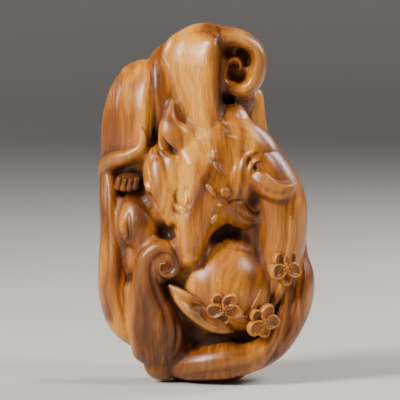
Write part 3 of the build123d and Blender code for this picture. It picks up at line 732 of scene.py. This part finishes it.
# The folded lower leg beside the cheek, with a small dewclaw raised on its left side.
# A deep groove all round sets it off from the tails.
leg_rows = [
    (-13.8, -6.6, 35.2, 5.0, 4.8),
    (-13.5, -7.8, 33.2, 6.8, 6.0),
    (-13.1, -8.6, 30.4, 7.6, 6.4),
    (-12.5, -8.6, 28.2, 6.8, 5.6),
    (-12.1, -8.4, 26.4, 4.4, 4.2),
]
leg = finished(lock(leg_rows, around=120, rings=160), "folded_leg", "lower_leg")
dewclaw_strokes = [
    ([(-16.0, 32.4), (-16.1, 30.8), (-15.6, 29.2)], 0.6, 0.7),
    ([(-15.1, 33.2), (-15.0, 31.0), (-14.9, 28.8), (-15.5, 27.8)], 0.3, -0.6),
]

# The wood left in the grooves: a gouge leaves a round bottom, so the forms run into each other.
# It fills every crease between them and lies a little under their surfaces elsewhere.
groove_radius = 0.5
groove_sunk = 0.15  # how far it lies under the forms
groove_grain = 0.35
groove_smoothing = 20
# the cuts over the head go on into this wood, a little wider and deeper
under_wider = 1.15
under_deeper = 1.3
# hollows that stay dark, under the jaw and under the leaf
jaw_shadow = [
    ([(-0.8, 25.4), (1.6, 28.2), (3.8, 29.9), (6.6, 30.4)], 1.7, -4.2),
    ([(3.4, 30.0), (7.0, 29.0), (9.4, 27.2)], 1.3, -1.7),
    ([(-7.6, 31.6), (-7.8, 29.4), (-6.9, 27.4)], 1.0, -1.6),
]
leaf_shadow = [
    ([(-5.4, 13.4), (-3.4, 10.8), (-0.4, 9.0), (3.4, 8.6), (7.4, 9.6)], 1.9, -2.0),
    ([(-5.0, 10.6), (-1.0, 7.6), (3.6, 7.8)], 1.4, -1.0),
]
carve(block, jaw_shadow + leaf_shadow)
carve(dome, leaf_shadow)
filling = bmesh.new()
for piece in carved:
    filling.from_mesh(piece.data)
groove_wood = finished(filling, "groove_wood")
for step in (groove_radius, -groove_radius - groove_sunk):
    run_together(groove_wood, groove_grain)
    offset = groove_wood.modifiers.new("offset", "DISPLACE")
    offset.strength = step * mm
    offset.mid_level = 0
rubbed_smooth(groove_wood, groove_smoothing)
under_strokes = [
    (places, width * under_wider, height * under_deeper)
    for places, width, height in head_strokes
    if height < 0
]
carve(groove_wood, under_strokes)
carve(head, head_strokes)
carve(leg, dewclaw_strokes)
carve(tail_1, tail_1_strokes)
carve(tail_2, tail_2_strokes)
carve(open_curl, open_curl_strokes)
carve(tail_6, tail_6_strokes)

# The paw under the hooked tail, with four short toes side by side.
# It was cut with the smallest gouge, and it is made darker than the wood round it.
paw_size = (5.4, 4.2, 2.8)
paw_middle = (-14.9, -7.2, 39.6)
toe_places = [(-17.0, -8.3, 39.0), (-15.9, -8.9, 38.8), (-14.8, -9.2, 38.8), (-13.75, -9.2, 39.0)]
toe_lean = (-0.22, 0.05)  # how far a toe leans across and back for each millimetre down
toe_steps = (0.8, 0.1, -0.6)
toe_width = 1.5
toe_taper = 0.2
toe_thickness = 2.6
paw = rounded_mass(paw_middle, paw_size, segments=48)
for x, y, z in toe_places:
    rows = []
    for up in toe_steps:
        centre = (x - toe_lean[0] * up, y - toe_lean[1] * up, z + up)
        rows.append((*centre, toe_width - toe_taper * up, toe_thickness))
    take_in(paw, lock(rows, around=24, rings=40))
finished(paw, "four_toed_paw", "paw")

# The leaf at the foot of the branch, curved under the haunch.
# It is hollowed between two raised edges, with two small cuts for its veins.
leaf_rows = [
    (-6.9, -10.5, 19.2, 1.2, 3.2),
    (-4.9, -11.2, 17.2, 3.2, 5.0),
    (-2.7, -11.5, 15.4, 4.3, 5.6),
    (-0.6, -11.6, 14.0, 4.8, 5.6),
    (1.4, -11.4, 12.7, 4.3, 5.3),
    (3.2, -10.9, 11.5, 2.6, 4.2),
    (4.7, -10.2, 10.7, 0.7, 2.2),
]
leaf = finished(lock(leaf_rows, around=110, rings=170, square=2.4), "plum_leaf", "leaf")
leaf_strokes = [
    ([(-5.4, 17.6), (-2.6, 15.7), (0.2, 14.0), (2.8, 12.3)], 1.0, -1.1),
    ([(-6.6, 19.6), (-4.2, 17.9), (-1.8, 17.0), (0.4, 16.6)], 0.4, 0.45),
    ([(-6.2, 17.4), (-3.5, 14.3), (-0.7, 12.1), (2.0, 10.9), (4.4, 10.6)], 0.4, 0.45),
    ([(-2.9, 15.8), (-1.4, 15.6), (-0.4, 15.7)], 0.5, -0.35),
    ([(-1.2, 13.9), (0.6, 12.6), (2.6, 11.6)], 0.28, -0.35),
]
carve(leaf, leaf_strokes)

# The plum branch, cut in low relief: it follows the forms that it lies on.
# A twig splits off it and points up over the haunch.
far_in_front = 40  # millimetres before the carving's axis, where the search for a surface starts


def front_of(x, z, pieces):
    """The foremost point over a place, in millimetres, and the way that the surface faces."""
    best = None
    for piece in pieces:
        start = Vector((x, -far_in_front, z)) * mm
        hit, point, normal, face = piece.ray_cast(start, -TOWARDS_VIEWER)
        if hit and (best is None or point.y / mm < best[0].y):
            best = (point / mm, normal)
    return best


bpy.context.view_layer.update()
bed = [block, groove_wood, arched_back, dome, tail_7, tail_8, leaf]
branch_places = [
    (4.6, 13.8, 1.6), (7.1, 13.1, 1.9), (9.7, 13.5, 2.1), (12.4, 15.6, 2.0), (14.2, 18.7, 1.9),
    (15.2, 22.4, 1.75), (15.6, 25.2, 1.5), (16.1, 28.4, 1.3), (16.3, 30.6, 1.5), (16.1, 32.6, 0.6),
]
twig_places = [(7.1, 13.1, 1.6), (9.0, 15.5, 1.4), (10.4, 18.6, 0.7)]
branch_sink = 0.05
branch = bmesh.new()
for places in (branch_places, twig_places):
    rows = []
    for x, z, width in places:
        point, normal = front_of(x, z, bed)
        middle = point - normal * branch_sink
        rows.append((*middle, width, width))
    take_in(branch, lock(rows, around=24, rings=90))
finished(branch, "plum_branch", "branch")

# The three plum blossoms, each of five bowl-shaped petals round a boss.
# Every petal is scooped with a tiny round gouge, which leaves a thin raised rim.
petal_ring = 1.95
petal_profile = [
    (0.0, -0.5), (0.45, -0.48), (0.78, -0.38), (0.97, -0.16), (1.08, 0.02), (1.2, 0.09),
    (1.33, 0.03), (1.42, -0.14), (1.47, -0.6), (1.4, -1.2), (0.9, -1.7), (0.0, -1.9),
]
# how large and how deep the gouge cut each petal, as no two are alike
petal_cuts = [(1.0, 0.0), (0.88, -0.2), (1.08, 0.1), (0.92, -0.15), (1.05, 0.12)]
petal_length = 1.2  # how much longer a petal is than wide
petal_lobes = 0.07  # how far its outline goes in and out, in three lobes
lobe_turn = 1.7  # how much further round, in radians, the lobes lie on the next petal
petal_pinch = 0.06  # how much its outer end is drawn in
petal_wave = 0.1  # how far its rim goes up and down
bowl_rows = 4  # places of the profile that lie in the scooped bowl
boss_radius = 0.7
boss_depth = 0.35
stamen_count = 7
stamen_ring = 0.75
stamen_radius = 0.24
stamen_lift = 0.08
stalk_size = (4.4, 4.4, 6.0)
stalk_depth = 3.6


def blossom(name, node, centre, facing, first_angle):
    """A blossom with its petals open in the direction facing, one of them at first_angle."""
    mesh = bmesh.new()
    scooped = mesh.verts.layers.float.new("bowl")
    for number, (spread, lift) in enumerate(petal_cuts):
        turn = math.radians(first_angle) + math.tau * number / len(petal_cuts)
        verts = [mesh.verts.new((out * mm, 0, up * mm)) for out, up in petal_profile]
        for vert in verts[:bowl_rows]:
            vert[scooped] = 1
        edges = [mesh.edges.new(pair) for pair in zip(verts, verts[1:])]
        bmesh.ops.spin(
            mesh, geom=verts + edges, cent=(0, 0, 0), axis=(0, 0, 1), angle=math.tau, steps=32,
            use_merge=True,
        )
        new = [vert for vert in mesh.verts if not vert.tag]
        for vert in new:
            around = math.atan2(vert.co.y, vert.co.x)
            lobes = petal_lobes * math.cos(3 * around + lobe_turn * number)
            pinch = 1 + lobes - petal_pinch * math.cos(around)
            vert.co.x *= petal_length * spread * pinch
            vert.co.y *= spread * pinch
            if vert[scooped] < 0.5:
                vert.co.z += petal_wave * mm * math.cos(2 * around + number)
        swing = Matrix.Rotation(turn, 3, "Z")
        bmesh.ops.rotate(mesh, matrix=swing, verts=new)
        offset = Vector((math.cos(turn) * petal_ring, math.sin(turn) * petal_ring, lift)) * mm
        bmesh.ops.translate(mesh, vec=offset, verts=new)
        for vert in mesh.verts:
            vert.tag = True
    boss = bmesh.ops.create_icosphere(mesh, subdivisions=3, radius=boss_radius * mm)
    bmesh.ops.translate(mesh, vec=(0, 0, -boss_depth * mm), verts=boss["verts"])
    for number in range(stamen_count):
        turn = math.tau * number / stamen_count
        stamen = bmesh.ops.create_icosphere(mesh, subdivisions=2, radius=stamen_radius * mm)
        offset = Vector((math.cos(turn) * stamen_ring, math.sin(turn) * stamen_ring, stamen_lift)) * mm
        bmesh.ops.translate(mesh, vec=offset, verts=stamen["verts"])
    stalk = bmesh.ops.create_uvsphere(mesh, u_segments=32, v_segments=16, radius=0.5 * mm)
    bmesh.ops.scale(mesh, vec=stalk_size, verts=stalk["verts"])
    bmesh.ops.translate(mesh, vec=(0, 0, -stalk_depth * mm), verts=stalk["verts"])
    z_axis = Vector(facing).normalized()
    x_axis = (Vector((1, 0, 0)) - z_axis * z_axis.x).normalized()
    y_axis = z_axis.cross(x_axis)
    for vert in mesh.verts:
        vert.co = x_axis * vert.co.x + y_axis * vert.co.y + z_axis * vert.co.z + Vector(centre) * mm
    return finished(mesh, name, node)


blossom("blossom_left", "left_blossom", (3.3, -14.5, 15.3), (-0.05, -0.92, -0.35), 53)
blossom("blossom_middle", "middle_blossom", (11.0, -12.8, 12.5), (0.5, -0.82, -0.22), 62)
blossom("blossom_right", "right_blossom", (15.3, -11.8, 22.9), (0.55, -0.82, 0.1), 58)

# The flower mark on the forehead: small petals left standing when the skull was cut back.
# Each is a thin drop of wood that is narrower at one end.
# place across and up, lean, length, width
mark_petals = [
    ((0.7, 37.9), (0.6, -0.8), 3.4, 1.3),
    ((3.6, 37.5), (1.0, -0.15), 2.8, 2.4),
    ((5.5, 35.6), (1.0, 0.0), 3.0, 1.0),
    ((2.4, 35.2), (1.0, 0.3), 1.2, 1.0),
    ((1.2, 32.5), (0.35, 0.9), 2.5, 1.2),
]
mark_height = 1.8
mark_taper = 0.5
mark = bmesh.new()
for (x, z), lean, length, width in mark_petals:
    point, normal = front_of(x, z, [head])
    x_axis = Vector((lean[0], 0, lean[1]))
    x_axis = (x_axis - normal * x_axis.dot(normal)).normalized()
    y_axis = normal.cross(x_axis)
    petal = bmesh.ops.create_uvsphere(mark, u_segments=32, v_segments=16, radius=0.5)
    for vert in petal["verts"]:
        across, up, out = vert.co
        taper = 1 - mark_taper * across
        spot = x_axis * across * length + y_axis * up * width * taper + normal * out * mark_height
        vert.co = (point + spot) * mm
finished(mark, "flower_mark", "forehead_mark")

# Grooves are darkened with painted shade, and with the dark wax and dirt that handling leaves there;
# the ridges are rubbed bright.
# Each point's "recess" says how much wood stands round it: half on a flat, more in a groove.
cell = 0.35
grid_low = np.array([-24.0, -18.5, -3.0])
grid_shape = (138, 98, 214)
hair_width = 0.01  # millimetres that a line through the wood moves on past each surface
# reach of each look at the wood round a point, its distance off the surface, its share
looks = [(0.55, 0.25, 0.4), (1.4, 0.3, 0.35), (3.0, 0.8, 0.25)]
deep_from = 0.6  # a point deeper in the wood than this counts as deeper still
bowl_shade = 0.1  # painted shade added to the recess in the scooped bowls of the petals
paw_darkening = 0.14  # how much more the paw is darkened, on top of its recess


def wood_grid(pieces):
    """A grid of cells round the carving, with 1 where a cell holds wood and 0 elsewhere."""
    filled = np.zeros(grid_shape, np.float32)
    layers = (np.arange(grid_shape[2]) * cell + grid_low[2]) * mm
    for piece in pieces:
        mesh = bmesh.new()
        mesh.from_mesh(piece.data)
        tree = BVHTree.FromBMesh(mesh)
        points = np.array([vert.co for vert in mesh.verts]) / mm
        mesh.free()
        first = np.maximum(((points.min(0) - grid_low) / cell).astype(int), 0)
        last = np.minimum(((points.max(0) - grid_low) / cell).astype(int) + 1, grid_shape)
        for column in range(first[0], last[0]):
            for row in range(first[1], last[1]):
                x = (grid_low[0] + column * cell) * mm
                y = (grid_low[1] + row * cell) * mm
                start = Vector((x, y, (points[:, 2].min() - 1) * mm))
                change = np.zeros(grid_shape[2], np.float32)
                hit = tree.ray_cast(start, UP)
                while hit[0] is not None:
                    place = int(np.searchsorted(layers, hit[0].z))
                    if place < grid_shape[2]:
                        change[place] += -1 if hit[1].z > 0 else 1
                    hit = tree.ray_cast(hit[0] + UP * hair_width * mm, UP)
                filled[column, row] += np.cumsum(change) > 0.5
    return np.minimum(filled, 1)


def blurred(grid, radius):
    """The grid with each cell spread over that many millimetres."""
    reach = int(3 * radius / cell)
    weights = np.exp(-0.5 * (np.arange(-reach, reach + 1) * cell / radius) ** 2)
    weights /= weights.sum()
    for axis in range(3):
        total = np.zeros_like(grid)
        for shift, weight in zip(range(-reach, reach + 1), weights):
            total += weight * np.roll(grid, shift, axis)
        grid = total
    return grid


def sampled(grid, points):
    """The grid's value at points in millimetres, evened out between neighbouring cells."""
    places = (points - grid_low) / cell
    low = np.clip(np.floor(places).astype(int), 0, np.array(grid_shape) - 2)
    share = places - low
    value = 0
    for corner in np.ndindex(2, 2, 2):
        weight = np.prod(np.where(corner, share, 1 - share), axis=1)
        at = low + corner
        value = value + weight * grid[at[:, 0], at[:, 1], at[:, 2]]
    return value


def keep_values(data, name, values):
    """Stores one value for each vertex, which the material reads by that name."""
    attribute = data.attributes.new(name, "FLOAT", "POINT")
    attribute.data.foreach_set("value", values.astype(np.float32))


grid = wood_grid(carved)
wood_looks = [(blurred(grid, radius), off, weight) for radius, off, weight in looks]
# how much paler, or darker where it is negative, a piece is than the layers of its wood say; on tail 9
# the paler tone is painted light where the piece lies in shade, on tail 6 and the back of the curl the
# darker tone is painted shade
piece_tones_light_and_shade = {
    "tail_1_curl_back": -0.12, "tail_3": -0.02, "tail_5": -0.03, "tail_6": -0.09, "tail_8": -0.04,
    "folded_leg": -0.03, "four_toed_paw": -0.16, "plum_leaf": -0.02, "groove_wood": -0.06,
    "flower_mark": -0.06, "haunch_dome": 0.05, "tail_9": 0.12,
}
# knots of paler and darker wood on the front, with painted light and shade: the pale spot between tails
# 2 and 3 is painted light on a strip in shade, the dark one on the left flank of tail 5 painted shade;
# place across and up, half width, half height, tone
figure_and_light_spots = [
    (-8.2, 39.6, 3.2, 4.0, 0.13), (-3.7, 29.5, 1.5, 4.0, 0.08), (-2.4, 42.6, 1.6, 4.0, -0.08),
    (-18.2, 27.0, 4.0, 9.0, -0.08), (-11.2, 54.0, 1.0, 7.0, 0.12), (5.5, 5.0, 6.0, 4.0, -0.05),
    (4.6, 19.0, 2.6, 7.0, 0.05), (8.6, 19.0, 1.3, 8.0, -0.09), (-3.0, 56.0, 3.0, 7.0, 0.04),
    (2.0, 61.0, 1.2, 8.0, -0.05), (-14.3, 54.0, 0.7, 10.0, -0.12), (6.6, 41.0, 2.6, 5.0, -0.04),
]
for piece in carved:
    data = piece.data
    points = vertex_rows(data, "co") / mm
    normals = vertex_rows(data, "normal")
    # tones of the wood, with the painted light and shade of some pieces and spots
    tones = np.full(len(points), piece_tones_light_and_shade.get(piece.name, 0.0))
    for x, z, half_wide, half_high, spot_tone in figure_and_light_spots:
        away = ((points[:, 0] - x) / half_wide) ** 2 + ((points[:, 2] - z) / half_high) ** 2
        tones += spot_tone * np.exp(-away) * (points[:, 1] < 0)
    keep_values(data, "tone", tones)
    buried = np.zeros(len(points))
    for wood, off, weight in wood_looks:
        seen = sampled(wood, points + normals * off)
        buried += weight * seen
    buried += np.clip(seen - deep_from, 0, 1)
    # the bowls of the petals are darkened with painted shade
    if "bowl" in data.attributes:
        bowl = np.empty(len(points), np.float32)
        data.attributes["bowl"].data.foreach_get("value", bowl)
        buried += bowl_shade * bowl
    # the paw is darkened more than its recess says
    if piece.name == "four_toed_paw":
        buried += paw_darkening
    keep_values(data, "recess", buried)

# The wood itself: golden and fine, with red-brown streaks where its layers were cut.
# The layers stand side by side from left to right, and the fibres run from foot to top.


def node_of(tree, kind, **settings):
    """A new node of a material or group, with its settings and its unlinked inputs."""
    node = tree.nodes.new(kind)
    for key, value in settings.items():
        if key.startswith("in_"):
            node.inputs[key[3:].replace("_", " ")].default_value = value
        else:
            setattr(node, key, value)
    return node


def noise_on(tree, place, stretch, detail, shift=(0, 0, 0)):
    """A noise whose grains are that many to the millimetre along x, y and z."""
    mapping = node_of(tree, "ShaderNodeMapping")
    mapping.inputs["Scale"].default_value = [share / mm for share in stretch]
    mapping.inputs["Location"].default_value = shift
    texture = node_of(tree, "ShaderNodeTexNoise", in_Scale=1.0, in_Detail=detail, in_Roughness=0.55)
    tree.links.new(place, mapping.inputs["Vector"])
    tree.links.new(mapping.outputs["Vector"], texture.inputs["Vector"])
    return texture.outputs[0]


def arithmetic(tree, operation, first, second, third=None):
    """A math node on sockets or plain numbers."""
    node = node_of(tree, "ShaderNodeMath", operation=operation)
    for socket, value in zip(node.inputs, (first, second, third)):
        if value is None:
            continue
        if isinstance(value, (int, float)):
            socket.default_value = value
        else:
            tree.links.new(value, socket)
    return node.outputs[0]


def remap(tree, value, low, high, to_low=0.0, to_high=1.0):
    """The value carried smoothly from one range to another."""
    node = node_of(tree, "ShaderNodeMapRange", interpolation_type="SMOOTHSTEP")
    for key, number in (("From Min", low), ("From Max", high), ("To Min", to_low), ("To Max", to_high)):
        node.inputs[key].default_value = number
    tree.links.new(value, node.inputs["Value"])
    return node.outputs[0]


def ramp_of(tree, value, stops, interpolation="LINEAR"):
    """A colour ramp on a value, from its stops of (position, colour) in order."""
    node = node_of(tree, "ShaderNodeValToRGB")
    ramp = node.color_ramp
    ramp.interpolation = interpolation
    ramp.elements[0].position, ramp.elements[0].color = stops[0]
    ramp.elements[1].position, ramp.elements[1].color = stops[-1]
    for position, colour in stops[1:-1]:
        ramp.elements.new(position).color = colour
    tree.links.new(value, node.inputs["Fac"])
    return node.outputs["Color"]


def mixed(tree, blend, share, first, second):
    """Two colours mixed; the share and the colours are sockets or plain values."""
    node = node_of(tree, "ShaderNodeMix", data_type="RGBA", blend_type=blend)
    sockets = [node.inputs[0], node.inputs[6], node.inputs[7]]
    for socket, value in zip(sockets, (share, first, second)):
        if isinstance(value, (int, float, tuple)):
            socket.default_value = value
        else:
            tree.links.new(value, socket)
    return node.outputs[2]


dark_streak = (0.09, 0.022, 0.002, 1)
red_brown = (0.22, 0.06, 0.005, 1)
amber = (0.42, 0.138, 0.01, 1)
golden = (0.64, 0.27, 0.025, 1)
figure_stops = [(0.36, dark_streak), (0.45, red_brown), (0.53, amber), (0.64, golden)]

# place from left to right in millimetres, and how pale the wood is there
board_tones = [
    (-22.0, 0.5), (-19.5, 0.5), (-16.5, 0.3), (-14.0, 0.45), (-12.0, 0.75), (-10.5, 0.7), (-9.3, 0.2),
    (-7.8, 0.2), (-6.6, 0.75), (-3.5, 0.85), (-0.8, 0.7), (0.6, 0.25), (2.2, 0.2), (3.6, 0.55),
    (6.5, 0.65), (9.5, 0.4), (12.0, 0.3), (15.0, 0.25), (18.5, 0.3), (22.0, 0.45),
]
board_span = 44
sway_width = 16  # millimetres from side to side that the layers wander
# below this height the layers lean over to the left, by so much for each millimetre down
lean_from = 48
lean = 0.38
# what each kind of figure adds to the tone
ground_tone = 0.02
layer_share = 0.45
board_share = 0.28
year_share = 0.25

grain = bpy.data.node_groups.new("boxwood figure", "ShaderNodeTree")
grain.interface.new_socket("Streaks", in_out="INPUT", socket_type="NodeSocketFloat")
grain.interface.new_socket("Color", in_out="OUTPUT", socket_type="NodeSocketColor")
grain.interface.new_socket("Height", in_out="OUTPUT", socket_type="NodeSocketFloat")
grain_in = node_of(grain, "NodeGroupInput")
grain_out = node_of(grain, "NodeGroupOutput")
place = node_of(grain, "ShaderNodeTexCoord").outputs["Object"]
sway = noise_on(grain, place, (0.05, 0.05, 0.03), detail=2.0)
swayed = node_of(grain, "ShaderNodeVectorMath", operation="ADD")
centred = node_of(grain, "ShaderNodeCombineXYZ")
offset = arithmetic(grain, "MULTIPLY_ADD", sway, sway_width * mm, -sway_width / 2 * mm)
grain.links.new(offset, centred.inputs["X"])
grain.links.new(place, swayed.inputs[0])
grain.links.new(centred.outputs[0], swayed.inputs[1])
layers = noise_on(grain, swayed.outputs[0], (0.24, 0.13, 0.028), detail=3.0)
years = noise_on(grain, swayed.outputs[0], (1.1, 0.35, 0.035), detail=2.0, shift=(3, 1, 0))
fibres = noise_on(grain, place, (5.5, 5.5, 0.35), detail=2.0)
pores = noise_on(grain, place, (8.0, 8.0, 1.1), detail=1.0, shift=(7, 2, 5))
across = node_of(grain, "ShaderNodeSeparateXYZ")
grain.links.new(swayed.outputs[0], across.inputs[0])
below = arithmetic(grain, "SUBTRACT", lean_from * mm, across.outputs["Z"])
below = arithmetic(grain, "MAXIMUM", below, 0.0)
leaning = arithmetic(grain, "MULTIPLY_ADD", below, lean, across.outputs["X"])
from_left = arithmetic(grain, "MULTIPLY_ADD", leaning, 1 / board_span / mm, 0.5)
board_stops = [(x / board_span + 0.5, (pale, pale, pale, 1)) for x, pale in board_tones]
boards = ramp_of(grain, from_left, board_stops, "B_SPLINE")
spread = arithmetic(grain, "MULTIPLY_ADD", layers, layer_share, ground_tone)
spread = arithmetic(grain, "MULTIPLY_ADD", boards, board_share, spread)
spread = arithmetic(grain, "MULTIPLY_ADD", years, year_share, spread)
tone = node_of(grain, "ShaderNodeAttribute", attribute_name="tone").outputs["Fac"]
spread = arithmetic(grain, "ADD", spread, tone)
figure = ramp_of(grain, spread, figure_stops)
fibre_shade = remap(grain, fibres, low=0.3, high=0.7, to_low=0.82, to_high=1.1)
shaded = mixed(grain, "MULTIPLY", grain_in.outputs["Streaks"], figure, fibre_shade)
pore_share = remap(grain, pores, low=0.62, high=0.72, to_high=0.45)
speckled = mixed(grain, "MIX", pore_share, shaded, dark_streak)
grain.links.new(speckled, grain_out.inputs["Color"])
height = arithmetic(grain, "SUBTRACT", fibres, pore_share)
grain.links.new(height, grain_out.inputs["Height"])

# the near black of the grooves: painted shade, with the wax and dirt that lie there
groove_shade_and_wax = (0.02, 0.005, 0.001, 1)
rubbed_gold = (0.64, 0.31, 0.06, 1)
groove_dullness = 0.4  # how much rougher the wood is where the painted shade and the dirt lie
fibre_dullness = 0.1  # and where a fibre stands up


def boxwood(name, streaks, roughness, hair):
    """The wood as it is on one kind of form: how streaked, how polished, how finely lined."""
    material = bpy.data.materials.new(name)
    material.use_nodes = True
    tree = material.node_tree
    shader = tree.nodes["Principled BSDF"]
    figured = node_of(tree, "ShaderNodeGroup", node_tree=grain)
    figured.inputs["Streaks"].default_value = streaks
    recess = node_of(tree, "ShaderNodeAttribute", attribute_name="recess").outputs["Fac"]
    # painted shade and dirt in the grooves, from how much wood stands round each point
    shade_and_dirt = remap(tree, recess, low=0.43, high=0.66, to_high=0.93)
    worn = remap(tree, recess, low=0.34, high=0.16, to_high=0.35)
    rubbed = mixed(tree, "MIX", worn, figured.outputs["Color"], rubbed_gold)
    shaded_and_waxed = mixed(tree, "MIX", shade_and_dirt, rubbed, groove_shade_and_wax)
    tree.links.new(shaded_and_waxed, shader.inputs["Base Color"])
    polish = arithmetic(tree, "MULTIPLY_ADD", shade_and_dirt, groove_dullness, roughness)
    uneven = arithmetic(tree, "MULTIPLY_ADD", figured.outputs["Height"], fibre_dullness, polish)
    tree.links.new(uneven, shader.inputs["Roughness"])
    lay = node_of(tree, "ShaderNodeAttribute", attribute_name="lay").outputs["Vector"]
    hairs = noise_on(tree, lay, (1.5, 0.09, 1.0), detail=2.0)
    relief = arithmetic(tree, "MULTIPLY_ADD", hairs, hair, figured.outputs["Height"])
    bump = node_of(tree, "ShaderNodeBump", in_Strength=0.35, in_Distance=0.06 * mm)
    tree.links.new(relief, bump.inputs["Height"])
    tree.links.new(bump.outputs["Normal"], shader.inputs["Normal"])
    shader.inputs["Specular IOR Level"].default_value = 0.4
    shader.inputs["Coat Weight"].default_value = 0.12
    shader.inputs["Coat Roughness"].default_value = 0.18
    return material


polished = boxwood("polished boxwood", streaks=1.0, roughness=0.27, hair=3.0)
fine_work = boxwood("boxwood of the fine work", streaks=0.6, roughness=0.33, hair=0.0)
rough = boxwood("boxwood between the forms", streaks=1.0, roughness=0.55, hair=0.0)
fine_pieces = ("blossom", "plum", "flower", "four")
for piece in carved:
    material = polished
    if piece.name.startswith(fine_pieces):
        material = fine_work
    if piece in (block, groove_wood):
        material = rough
    piece.data.materials.clear()
    piece.data.materials.append(material)

# The studio: a plain pale floor that sweeps up far off, like a roll of paper.
# Soft light comes from a window on the left, a weaker one on the right and one from behind.
# distance out and height up in metres
sweep_profile = [
    (0.0, 0.0), (0.9, 0.0), (1.05, 0.01), (1.17, 0.05), (1.26, 0.13), (1.3, 0.24), (1.3, 0.4),
]
paper = (0.5, 0.49, 0.475, 1)
paper_roughness = 0.9
sky = (0.8, 0.82, 0.86, 1)
sky_strength = 0.1
floor_weld = 0.0001
floor_mesh = bmesh.new()
verts = [floor_mesh.verts.new((out, 0, up)) for out, up in sweep_profile]
edges = [floor_mesh.edges.new(pair) for pair in zip(verts, verts[1:])]
bmesh.ops.spin(
    floor_mesh, geom=verts + edges, cent=(0, 0, 0), axis=(0, 0, 1), angle=math.tau, steps=96,
    use_merge=True,
)
bmesh.ops.remove_doubles(floor_mesh, verts=floor_mesh.verts, dist=floor_weld)
bmesh.ops.recalc_face_normals(floor_mesh, faces=floor_mesh.faces)
floor_data = bpy.data.meshes.new("floor")
floor_mesh.to_mesh(floor_data)
floor_mesh.free()
floor_data.shade_smooth()
floor = bpy.data.objects.new("floor", floor_data)
bpy.context.collection.objects.link(floor)
pale_paper = bpy.data.materials.new("pale paper")
pale_paper.use_nodes = True
paper_shader = pale_paper.node_tree.nodes["Principled BSDF"]
paper_shader.inputs["Base Color"].default_value = paper
paper_shader.inputs["Roughness"].default_value = paper_roughness
floor_data.materials.append(pale_paper)

world = bpy.data.worlds.new("studio")
bpy.context.scene.world = world
world.use_nodes = True
world.node_tree.nodes["Background"].inputs["Color"].default_value = sky
world.node_tree.nodes["Background"].inputs["Strength"].default_value = sky_strength
lit_point = Vector((0, 0, 35)) * mm


def soft_light(name, direction, distance, width, height, watts, tint):
    """A soft rectangular light that faces the carving from that direction."""
    light = bpy.data.lights.new(name, "AREA")
    light.shape = "RECTANGLE"
    light.size = width
    light.size_y = height
    light.energy = watts
    light.color = tint
    lamp = bpy.data.objects.new(name, light)
    bpy.context.collection.objects.link(lamp)
    lamp.location = lit_point + Vector(direction).normalized() * distance
    lamp.rotation_euler = (-Vector(direction)).to_track_quat("-Z", "Y").to_euler()


# name, way to it, distance, width and height in metres, watts, tint
windows = [
    ("left window", (-0.68, -0.5, 0.54), 0.55, 0.16, 0.26, 6.2, (1.0, 0.96, 0.93)),
    ("right window", (0.66, -0.3, 0.68), 0.55, 0.14, 0.2, 2.0, (1.0, 0.95, 0.9)),
    ("light from behind", (0.71, 0.46, 0.54), 0.5, 0.14, 0.26, 2.4, (1.0, 0.95, 0.9)),
]
for window in windows:
    soft_light(*window)

# The camera stands a few degrees above level, as in the photograph.
# It is far off with a long lens, so the carving's two sides hardly run together.
photo_size = 400
pixel = 0.19337 * mm
foot_pixel = (207, 384)  # where the foot of the carving is in the photograph
front_depth = 6  # millimetres that the middle of the view lies before the carving's axis
view_width = photo_size * pixel
camera_elevation = math.radians(4)
camera_lens = 300
camera_data = bpy.data.cameras.new("camera")
camera_data.lens = camera_lens
camera = bpy.data.objects.new("camera", camera_data)
bpy.context.collection.objects.link(camera)
distance = view_width / 2 / (camera_data.sensor_width / 2 / camera_lens)
target_x = (photo_size / 2 - foot_pixel[0]) * pixel
target_z = (foot_pixel[1] - photo_size / 2) * pixel
target = Vector((target_x, -front_depth * mm, target_z))
back_off = Vector((0, -math.cos(camera_elevation), math.sin(camera_elevation)))
camera.location = target + back_off * distance
camera.rotation_euler = (-back_off).to_track_quat("-Z", "Y").to_euler()
camera_data.clip_start = 0.01
camera_data.clip_end = 10
bpy.context.scene.camera = camera
